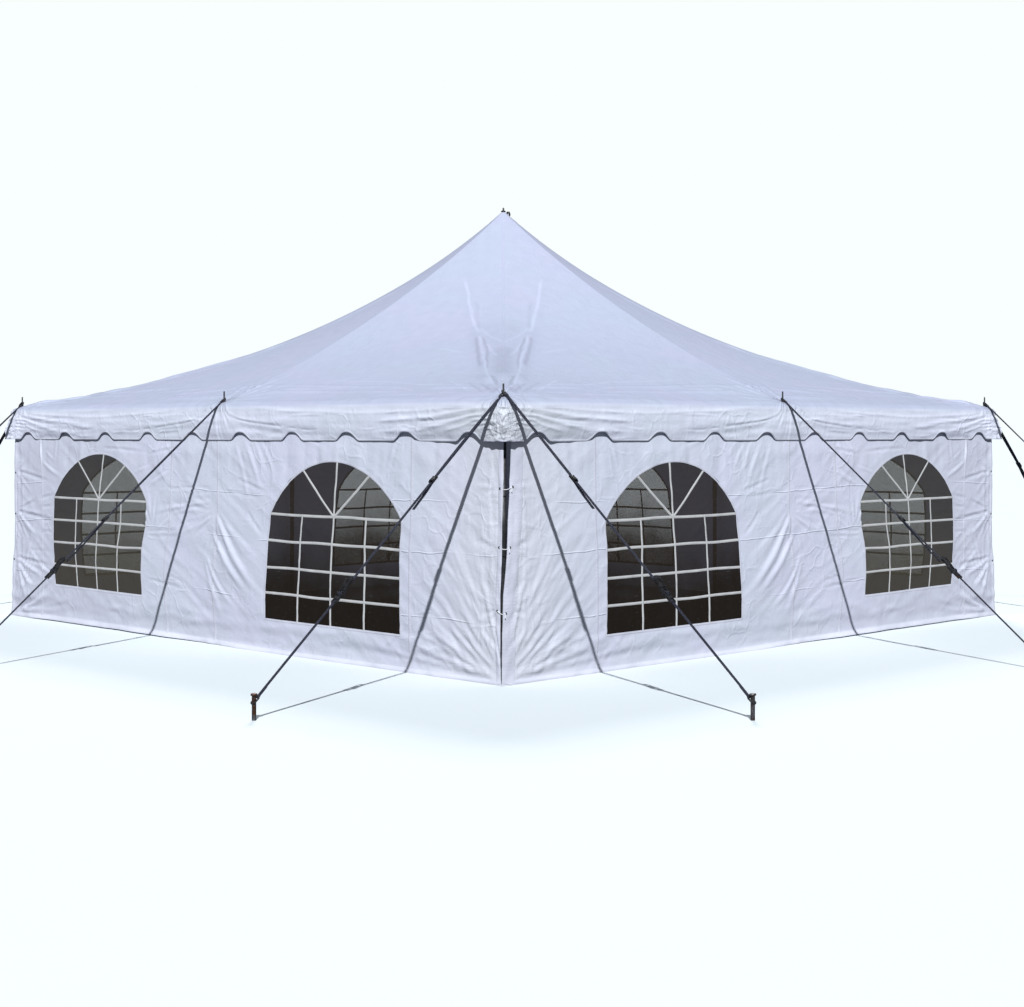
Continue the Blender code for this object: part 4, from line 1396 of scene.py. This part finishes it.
    def film(self, index: int) -> bpy.types.Object:
        """Makes one window's film."""
        centre, overlap, step = SIZE.window_centres[index], 0.018, 0.024
        half, foot, top = SIZE.window_width / 2 + overlap, SIZE.sill - overlap, SIZE.spring + SIZE.rise + overlap
        columns, rows = round(2 * half / step), round((top - foot) / step)
        shape, column, row = new_grid(columns, rows)
        along = centre - half + 2 * half * column / columns
        up = foot + (top - foot) * row / rows
        arch = np.sqrt(np.maximum((SIZE.arch_radius + overlap) ** 2 - (along - centre) ** 2, 0.0))
        squeeze = (SIZE.arch_centre + arch - SIZE.spring) / (top - SIZE.spring)
        up = np.where(up > SIZE.spring, SIZE.spring + (up - SIZE.spring) * squeeze, up)
        move(shape, self.side.place(*self.cloth.place_film(along, up, centre)))
        self.side.face_out(shape)
        bmesh.ops.remove_doubles(shape, verts=shape.verts, dist=1e-5)
        cosine, sine = math.cos(self.side.angle), math.sin(self.side.angle)
        map_cloth(shape, np.array([(self.side.hand * (vert.co.x * cosine + vert.co.y * sine), vert.co.z)
                                   for vert in shape.verts]))
        node, paint = self.side.window(index), ("near_window_film", "far_window_film")[index]
        return finish(f"{node}_film", shape, paint, [node], "window_film")

    def bars(self, index: int) -> bpy.types.Object:
        """Makes one window's white bars, which follow its film."""
        centre, spring = SIZE.window_centres[index], SIZE.spring
        half, radius = SIZE.window_width / 2 + 0.004, SIZE.arch_radius + 0.004
        wave = Ripple(90 + index, (0.30, 0.30), 0.0050)
        lines = [[(centre - half, height), (centre + half, height)] for height in self.bar_heights]
        lines += [[(centre + away, SIZE.sill - 0.004), (centre + away, spring)] for away in self.bar_offsets]
        for degrees in self.ray_angles:
            across, rise = math.cos(math.radians(degrees)), math.sin(math.radians(degrees))
            drop = spring - SIZE.arch_centre
            reach = -drop * rise + math.sqrt((drop * rise) ** 2 - drop ** 2 + radius ** 2)
            lines.append([(centre, spring), (centre + across * reach, spring + rise * reach)])
        parts = []

        def placed(first: Array, second: Array, proud: Array) -> Array:
            """Places points on the outside of the film."""
            return self.side.place(*self.cloth.place_film(first, second, centre, 0.0006 + proud))

        for rank, line in enumerate(lines):
            path = resample(line, 0.02)
            along, up = path.T
            path = path + np.stack([wave.lift(along + rank, up), wave.lift(along, up + rank)], axis=1)
            parts.append(ribbon(path, self.bar_width, placed, 0.0012 + 0.0002 * rank))
        return finish(f"{self.side.window(index)}_bars", joined(parts), "window_bar")

    def build(self) -> list[bpy.types.Object]:
        """Makes every piece of the wall and returns them."""
        wall, trim = self.sheet(), self.trim()
        pieces = [wall, trim]
        for index in (0, 1):
            film, bars = self.film(index), self.bars(index)
            pieces += [film, bars]
        return pieces


@dataclass
class Lacing:
    """The white ties that close two walls at a corner, each through two small grommets.

    Attributes:
        corner: The corner's name.
        walls: The two walls.
        inset: How far the grommets are from the walls' edges.
    """

    corner: str
    walls: tuple[WindowWall, WindowWall]
    inset: float = 0.024

    def build(self) -> list[bpy.types.Object]:
        """Makes the ties, their knots and tails, and the grommets of one corner."""
        end = 1 if self.corner in ("front_right", "back_left") else -1
        cords, rings = [], []
        cosine, sine = circle(16)
        for rank, height in enumerate(TIE_HEIGHTS):
            ends = []
            for wall, tip in zip(self.walls, (0.0, 0.010 - 0.012 * rank)):
                along = end * (wall.reach(np.array([height]))[0 if end > 0 else 1] - self.inset)
                up = np.array([height + tip])
                ends.append(wall.place(along, up, 0.004)[0])
                loop = wall.place(along + 0.0044 * cosine, up + 0.0044 * sine, 0.002)
                out = wall.place(along, up, 0.1)[0] - wall.place(along, up, 0.0)[0]
                rings.append(sweep(loop, round_section(0.0042, 6), out / np.linalg.norm(out), True))
            first, last = ends
            away = np.array([*np.copysign(1, first[:2]), 0.0]) / math.sqrt(2)
            down = np.array([0.0, 0.0, -1.0])
            share = np.linspace(0, 1, 15)[:, None]
            path = first + (last - first) * share + (away * 0.010 + down * 0.012) * np.sin(share * math.pi)
            path[[0, -1]] -= away * 0.010
            cords.append(sweep(path, round_section(0.0028), (0, 0, 1)))
            for place, lean in ((path[1], -0.4), (path[-2], 0.5)):
                knot = lathe([(0, -0.004), (0.003, -0.0035), (0.004, 0), (0.003, 0.0035), (0, 0.004)], steps=10)
                spot = Matrix.Translation(place + away * 0.003)
                cords.append(moved(knot, spot @ Matrix.Rotation(lean, 4, "X")))
            share = np.linspace(0, 1, 6)[:, None]
            tail = path[-2] + away * 0.002 + (down * 0.030 + away * 0.006) * share
            cords.append(sweep(tail, round_section(0.0030), away))
        return [finish(f"{self.corner}_ties", joined(cords), "tie_cord"),
                finish(f"{self.corner}_tie_grommets", joined(rings), "grommet_metal")]


@dataclass
class Pole:
    """A tent pole: a foot plate, a tube in two lengths and a pin through the canopy.

    Attributes:
        node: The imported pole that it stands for.
        place: Where it stands.
        radius: The tube's radius.
        foot: The foot plate's radius.
        pin: The pin's radius.
        top: The height of the tube's top.
        tip: The height of the pin's tip.
    """

    node: str
    place: Pair
    radius: float = 0.019
    foot: float = 0.045
    pin: float = 0.006
    top: float = 1.800
    tip: float = 1.905

    def build(self) -> bpy.types.Object:
        """Makes the pole."""
        tube, foot, pin, top, joint = self.radius, self.foot, self.pin, self.top, self.top * 0.52
        sleeve = tube + 0.0022
        outline = [(0, 0), (foot - 0.001, 0), (foot, 0.001), (foot, 0.005), (foot - 0.001, 0.006),
                   (tube + 0.007, 0.006), (tube + 0.0035, 0.0085), (tube, 0.014), (tube, joint),
                   (sleeve, joint + 0.003), (sleeve, joint + 0.150), (tube, joint + 0.154), (tube, top - 0.004),
                   (tube - 0.003, top), (pin + 0.004, top), (pin, top + 0.004), (pin, self.tip - 0.008),
                   (pin * 0.75, self.tip - 0.002), (0, self.tip)]
        parts = [lathe(outline, (*self.place, 0.0), 28)]
        for angle in (0.6, 0.6 + math.pi):
            bolt = lathe([(0, 0), (0.005, 0), (0.005, 0.003), (0.0035, 0.005), (0, 0.0055)], steps=8)
            turn = Matrix.Rotation(angle, 4, "Z") @ Matrix.Rotation(math.pi / 2, 4, "Y")
            out = Vector((math.cos(angle), math.sin(angle), 0)) * (tube + 0.002)
            parts.append(moved(bolt, Matrix.Translation(Vector((*self.place, joint + 0.10)) + out) @ turn))
        return finish(f"{self.node}_tube", joined(parts), "galvanised_tube", [self.node], smooth=40)


class StrapKind(Enum):
    """The straps of the corner poles and of the side poles.

    Each value holds where the buckle and the ratchet are, as shares of the strap's length, how far the stake
    stands from the pin, how far the two upper lengths of webbing stand aside, and how long the loose tail is.
    """

    CORNER = (0.309, 0.682, 1.95, 0.0050, 0.24)
    SIDE = (0.498, 0.698, 2.07, 0.0030, 0.42)


@dataclass
class GuyStrap:
    """A ratchet strap from a pole's pin to its stake, written along its own line from the pin.

    Attributes:
        node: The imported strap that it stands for.
        pin: Where the pin stands.
        heading: The angle that the strap leaves at, seen from above.
        kind: Whose strap it is.
        ring_height: The height of its ring on the pin.
        width: The webbing's width.
        thickness: The webbing's thickness.
        link_reach: How far the links' bars are from the pin and the stake.
    """

    node: str
    pin: Pair
    heading: float
    kind: StrapKind
    ring_height: float
    width: float = 0.025
    thickness: float = 0.0025
    link_reach: float = 0.031

    def __post_init__(self) -> None:
        """Works out the strap's own line, and the turn and shift from it to the tent."""
        buckle, ratchet, reach, self.splay, self.tail = self.kind.value
        fall = self.ring_height - 0.105
        self.length = math.hypot(reach, fall)
        self.buckle, self.ratchet = buckle * self.length, ratchet * self.length
        dip = Matrix.Rotation(math.atan2(fall, reach), 4, "Y")
        self.to_tent = (Matrix.Translation((*self.pin, self.ring_height))
                        @ Matrix.Rotation(self.heading, 4, "Z") @ dip)

    def link(self, at: float, way: int, radius: float) -> Shape:
        """Makes a three-cornered steel link round a pin or a stake, with its bar towards the strap."""
        half, bar = self.width / 2 + 0.005, self.link_reach
        outline = [(radius * math.cos(a), radius * math.sin(a)) for a in np.linspace(2.2, 4.08, 9)]
        outline += [(bar - 0.004, 0.001 - half), (bar, 0.006 - half), (bar, half - 0.006),
                    (bar - 0.004, half - 0.001)]
        flat = resample(outline, 0.005, True)[:-1]
        path = np.stack([at + way * flat[:, 0], flat[:, 1], np.zeros(len(flat))], axis=1)
        return sweep(path, round_section(0.0056), (0, 0, 1), True)

    def webbing(self, points: Sequence[Pair], aside: float = 0.0) -> Shape:
        """Makes webbing along points given as distances along and above the strap's line."""
        path = np.array([(along, 0.0, above) for along, above in points])
        path[:, 1] = aside * np.sin(np.linspace(0, math.pi, len(path))) ** 0.3
        return sweep(path, flat_section(self.width, self.thickness), (0, 1, 0))

    def loop(self, bar: float, way: int, back: float, stop: float) -> list[Pair]:
        """Returns the path of webbing that turns round a bar, lies sewn on itself and runs on to a stop."""
        gap = self.thickness * 0.56
        far, turn = bar + way * back, np.linspace(0.15, math.pi - 0.15, 9)
        points = [(bar + way * share, -gap) for share in np.linspace(back, 0.016, 6)]
        points += [(bar - way * 0.0056 * math.sin(a), -0.0056 * math.cos(a)) for a in turn]
        points += [(bar + way * share, gap) for share in np.linspace(0.016, back, 5)]
        return points + [(far + (stop - far) * s, gap * (1 - s)) for s in np.linspace(0.1, 1, 12)]

    def straps(self) -> Shape:
        """Makes the strap's lengths of webbing, its loose tail and its stitching blocks."""
        buckle, ratchet, bar, foot = self.buckle, self.ratchet, self.link_reach, self.length - self.link_reach
        start, steps = bar + 0.004, np.linspace(0, 1, 24)
        parts = [self.webbing(self.loop(bar, 1, 0.085, buckle), self.splay),
                 self.webbing([(start + (buckle - start) * s, 0.0030 * math.sin(math.pi * s)) for s in steps],
                              -self.splay),
                 self.webbing([(buckle + (ratchet - buckle) * s, -0.0006 * math.sin(math.pi * s))
                               for s in steps]),
                 self.webbing([(ratchet + 0.0125 * math.sin(a), 0.0125 * math.cos(a))
                               for a in np.linspace(0, 2 * math.pi * 1.6, 40)]),
                 self.webbing(self.loop(foot, -1, 0.080, ratchet + 0.040)),
                 self.webbing([(buckle + self.tail * s, -0.005 - 0.006 * s * s
                                - 0.012 * math.sin(min(1.0, 1.6 * s) * math.pi / 2))
                               for s in np.linspace(0.02, 1, 18)])]
        for end, way in ((bar, 1), (foot, -1)):
            for share in (0.030, 0.046, 0.062, 0.078):
                parts.append(block((0.0016, self.width * 0.8, 0.0060), (end + way * share, 0, 0), 0.0004))
        return joined(parts)

    @staticmethod
    def gear() -> Shape:
        """Makes a toothed wheel of the ratchet."""
        shape = bmesh.new()
        bmesh.ops.create_circle(shape, cap_ends=True, segments=24, radius=0.019)
        for index, vert in enumerate(sorted(shape.verts, key=lambda v: math.atan2(v.co.y, v.co.x))):
            vert.co *= 1.0 if index % 2 else 0.84
        bmesh.ops.recalc_face_normals(shape, faces=shape.faces)
        bmesh.ops.solidify(shape, geom=shape.faces, thickness=0.003)
        return shape

    def hardware(self) -> Shape:
        """Makes the links, the cam buckle and the ratchet."""
        buckle, ratchet = self.buckle, self.ratchet
        parts = [self.link(0.0, 1, SIZE.pin_radius + 0.0045),
                 self.link(self.length, -1, SIZE.stake_radius + 0.005)]
        upright = Matrix.Rotation(math.pi / 2, 4, "X")
        for side in (-1, 1):
            parts += [block((0.055, 0.0025, 0.014), (buckle, side * 0.0165, 0.001), 0.0008),
                      block((0.120, 0.0028, 0.018), (ratchet + 0.012, side * 0.0170, 0.001), 0.0009),
                      block((0.118, 0.0024, 0.014), (ratchet - 0.055, side * 0.0205, 0.012), 0.0008, 0.16)]
            gear = moved(self.gear(), Matrix.Translation((ratchet, side * 0.0190 + 0.0015, 0)) @ upright)
            bmesh.ops.recalc_face_normals(gear, faces=gear.faces)
            parts.append(gear)
        for along, above, radius in ((buckle - 0.024, 0.0, 0.0028), (buckle + 0.024, 0.0, 0.0028),
                                     (ratchet + 0.066, 0.0, 0.0034), (ratchet, 0.006, 0.0036),
                                     (ratchet, -0.006, 0.0036), (ratchet - 0.030, 0.010, 0.0030)):
            rod = lathe([(0, -0.021), (radius, -0.021), (radius, 0.021), (0, 0.021)], steps=12)
            parts.append(moved(rod, Matrix.Translation((along, 0, above)) @ upright))
        parts += [block((0.034, 0.029, 0.005), (buckle + 0.004, 0, 0.0095), 0.0014, -0.14),
                  block((0.020, 0.029, 0.006), (buckle - 0.008, 0, 0.0060), 0.0014),
                  block((0.026, 0.040, 0.0065), (ratchet - 0.112, 0, 0.0215), 0.0022, 0.16),
                  block((0.030, 0.030, 0.0030), (ratchet - 0.060, 0, 0.0150), 0.0009, 0.16),
                  block((0.022, 0.032, 0.0035), (ratchet + 0.034, 0, 0.0080), 0.0010)]
        return joined(parts)

    def build(self) -> list[bpy.types.Object]:
        """Makes the strap and its hardware."""
        straps, hardware = (moved(shape, self.to_tent) for shape in (self.straps(), self.hardware()))
        return [finish(f"{self.node}_webbing", straps, "strap_webbing", [self.node], smooth=60),
                finish(f"{self.node}_hardware", hardware, "ratchet_steel", smooth=40)]


@dataclass
class Stake:
    """The part above the ground of a driven steel stake, with a mushroomed head."""

    node: str
    place: Pair

    def build(self) -> bpy.types.Object:
        """Makes the stake."""
        top, shank = SIZE.stake_height, SIZE.stake_radius
        outline = [(0, 0), (shank, 0), (shank, top - 0.016), (shank + 0.002, top - 0.0125),
                   (0.0185, top - 0.0115), (0.020, top - 0.009), (0.0198, top - 0.004), (0.0175, top - 0.001),
                   (0.012, top), (0, top - 0.0006)]
        shape = lathe(outline, (*self.place, 0.0), 24)
        random = np.random.default_rng(int(1000 * (abs(self.place[0]) + 2 * abs(self.place[1]))))
        for vert in shape.verts:
            if vert.co.z > top - 0.013:
                away = Vector((vert.co.x - self.place[0], vert.co.y - self.place[1], 0))
                vert.co -= away * random.uniform(0.0, 0.07)
                vert.co.z -= random.uniform(0.0, 0.0007)
        return finish(f"{self.node}_steel", shape, "stake_steel", [self.node], smooth=45)


@dataclass
class Studio:
    """The floor, the lights, the sky and the camera, which aren't part of the tent.

    Attributes:
        camera_place: Where the camera is, from the fit to the photograph.
        focal_pixels: Its focal length in pixels of a picture 1024 wide.
        axis_pixels: Where the camera's axis meets the picture, in pixels.
        picture: The picture's width and height.
        sun_height: The key light's height over the horizon, in degrees.
    """

    camera_place: tuple[float, float, float] = (10.741, -10.741, 1.589)
    focal_pixels: float = 1737.0
    axis_pixels: Pair = (503.4, 433.0)
    picture: tuple[int, int] = (1024, 1007)
    sun_height: float = 40.5

    def camera(self) -> None:
        """Makes the camera and sets it as the scene's."""
        wide, tall = self.picture
        data = bpy.data.cameras.new("photo_camera")
        data.sensor_width = 36.0
        data.lens = self.focal_pixels / wide * data.sensor_width
        data.shift_x = (wide / 2 - self.axis_pixels[0]) / wide
        data.shift_y = (self.axis_pixels[1] - tall / 2) / wide
        data.clip_end = 2000.0
        camera = bpy.data.objects.new("photo_camera", data)
        camera.location = self.camera_place
        camera.rotation_euler = (math.pi / 2, 0.0, math.pi / 4)
        bpy.context.scene.collection.objects.link(camera)
        bpy.context.scene.camera = camera

    @staticmethod
    def sun(name: str, azimuth: float, height: float, power: float, angle: float,
            pieces: Sequence[bpy.types.Object], state: str) -> bpy.types.Object:
        """Makes a distant lamp that lights only some pieces, or leaves them out.

        Args:
            name: Its name.
            azimuth: The direction that it stands in, in degrees from +X towards +Y.
            height: Its height over the horizon, in degrees.
            power: Its strength.
            angle: How wide it looks, in degrees: the wider, the softer its shadows.
            pieces: The pieces.
            state: INCLUDE to light only these, EXCLUDE to leave these out.

        Returns:
            The lamp.
        """
        data = bpy.data.lights.new(name, "SUN")
        data.energy, data.angle, data.color = power, math.radians(angle), (0.955, 0.975, 1.0)
        lamp = bpy.data.objects.new(name, data)
        turn, lift = math.radians(azimuth), math.radians(height)
        towards = Vector((math.cos(turn) * math.cos(lift), math.sin(turn) * math.cos(lift), math.sin(lift)))
        lamp.rotation_euler = (-towards).to_track_quat("-Z", "Y").to_euler()
        bpy.context.scene.collection.objects.link(lamp)
        group = bpy.data.collections.new(f"{name}_receivers")
        for piece in pieces:
            group.objects.link(piece)
        for member in group.collection_objects:
            member.light_linking.link_state = state
        lamp.light_linking.receiver_collection = group
        return lamp

    @staticmethod
    def sky() -> None:
        """Makes the pale backdrop and the soft light that comes from all round."""
        world = bpy.data.worlds.new("studio")
        world.use_nodes = True
        tree = world.node_tree
        tree.nodes.clear()
        output, mixed, path, soft, seen = (tree.nodes.new(f"ShaderNode{kind}") for kind in (
            "OutputWorld", "MixShader", "LightPath", "Background", "Background"))
        soft.inputs[0].default_value = (0.80, 0.87, 1.0, 1.0)
        soft.inputs[1].default_value = 0.165
        seen.inputs[0].default_value = (0.947, 1.0, 1.0, 1.0)
        tree.links.new(path.outputs["Is Camera Ray"], mixed.inputs[0])
        tree.links.new(soft.outputs[0], mixed.inputs[1])
        tree.links.new(seen.outputs[0], mixed.inputs[2])
        tree.links.new(mixed.outputs[0], output.inputs["Surface"])
        bpy.context.scene.world = world

    @staticmethod
    def floor() -> None:
        """Makes the pale floor."""
        shape = bmesh.new()
        bmesh.ops.create_grid(shape, x_segments=4, y_segments=4, size=400.0)
        mesh = bpy.data.meshes.new("studio_floor")
        shape.to_mesh(mesh)
        shape.free()
        nodes = NodeTree("studio_floor")
        colour = nodes.blend(nodes.noise(nodes.object_place, 0.4, 3.0), (0.735, 0.80, 0.82), (0.750, 0.81, 0.83))
        mesh.materials.append(nodes.shade(colour=colour, roughness=0.9, specular=0.1))
        floor = bpy.data.objects.new("studio_floor", mesh)
        floor.visible_diffuse = False
        floor.visible_glossy = False
        bpy.context.scene.collection.objects.link(floor)

    def build(self, roof: Sequence[bpy.types.Object]) -> None:
        """Makes the studio, with a softer key light for the roof, which faces the key more squarely."""
        self.camera()
        self.sun("key_light", -45.0, self.sun_height, 4.6, 0.9, roof, "EXCLUDE")
        self.sun("roof_key_light", -45.0, self.sun_height, 4.12, 0.9, roof, "INCLUDE")
        self.sun("back_light", 135.0, 38.0, 1.3, 12.0, roof, "EXCLUDE")
        self.sun("roof_back_light", 135.0, 38.0, 0.28, 12.0, roof, "INCLUDE").visible_glossy = False
        self.sky()
        self.floor()
        settings = bpy.context.scene.view_settings
        settings.view_transform = "Standard"
        settings.look = "None"


class MarqueeTent:
    """The whole tent, built one sub-assembly at a time."""

    @staticmethod
    def guy(kind: StrapKind, name: str, side: Side, place: Pair, level: int = 0) -> list[bpy.types.Object]:
        """Makes a strap and its stake.

        Args:
            kind: Whose strap it is.
            name: The strap's packed name, which says `stake` in place of `strap` for the stake.
            side: The side that it leaves from.
            place: Where its pole stands.
            level: The place of its ring on the pin, counted from 0.

        Returns:
            Their pieces.
        """
        heading, reach = (side.value[0] - 1) * math.pi / 2, kind.value[2]
        spot = (place[0] + math.cos(heading) * reach, place[1] + math.sin(heading) * reach)
        return [*GuyStrap(name, place, heading, kind, 1.842 + 0.0083 * level).build(),
                Stake(name.replace("strap", "stake"), spot).build()]

    def build(self) -> list[bpy.types.Object]:
        """Makes every piece of the tent and returns them."""
        pieces = Canopy(CanopyCloth()).build()
        cloth, line = WallCloth(), SIZE.pin_line
        walls = {side: WindowWall(side, cloth) for side in Side}
        for wall in walls.values():
            pieces += wall.build()
        for name, (first, second) in CORNERS.items():
            pieces += Lacing(name, (walls[first], walls[second])).build()
        pieces.append(Pole("centre_pole", (0.0, 0.0), 0.025, 0.070, 0.008, 3.498, 3.560).build())
        places = {side.label: (line * math.sin(side.angle), -line * math.cos(side.angle)) for side in Side}
        for name in CORNERS:
            x = line if name.endswith("right") else -line
            places[name] = (x, -line if name.startswith("front") else line)
        pieces += [Pole(f"{name}_pole", place).build() for name, place in places.items()]
        for side in Side:
            pieces += self.guy(StrapKind.SIDE, f"{side.label}_strap", side, places[side.label])
        for name, sides in CORNERS.items():
            for level, side in enumerate(sides):
                pieces += self.guy(StrapKind.CORNER, f"{name}_strap_{side.label}", side, places[name], level)
        return pieces


def main() -> None:
    """Builds the tent and the studio, and reports each piece."""
    logging.basicConfig(level=logging.INFO, format="%(message)s")
    pieces = MarqueeTent().build()
    Studio().build([piece for piece in pieces if piece.name.startswith("roof_")])
    log.info("pieces made: %d", len(pieces))


if __name__ == "__main__":
    main()
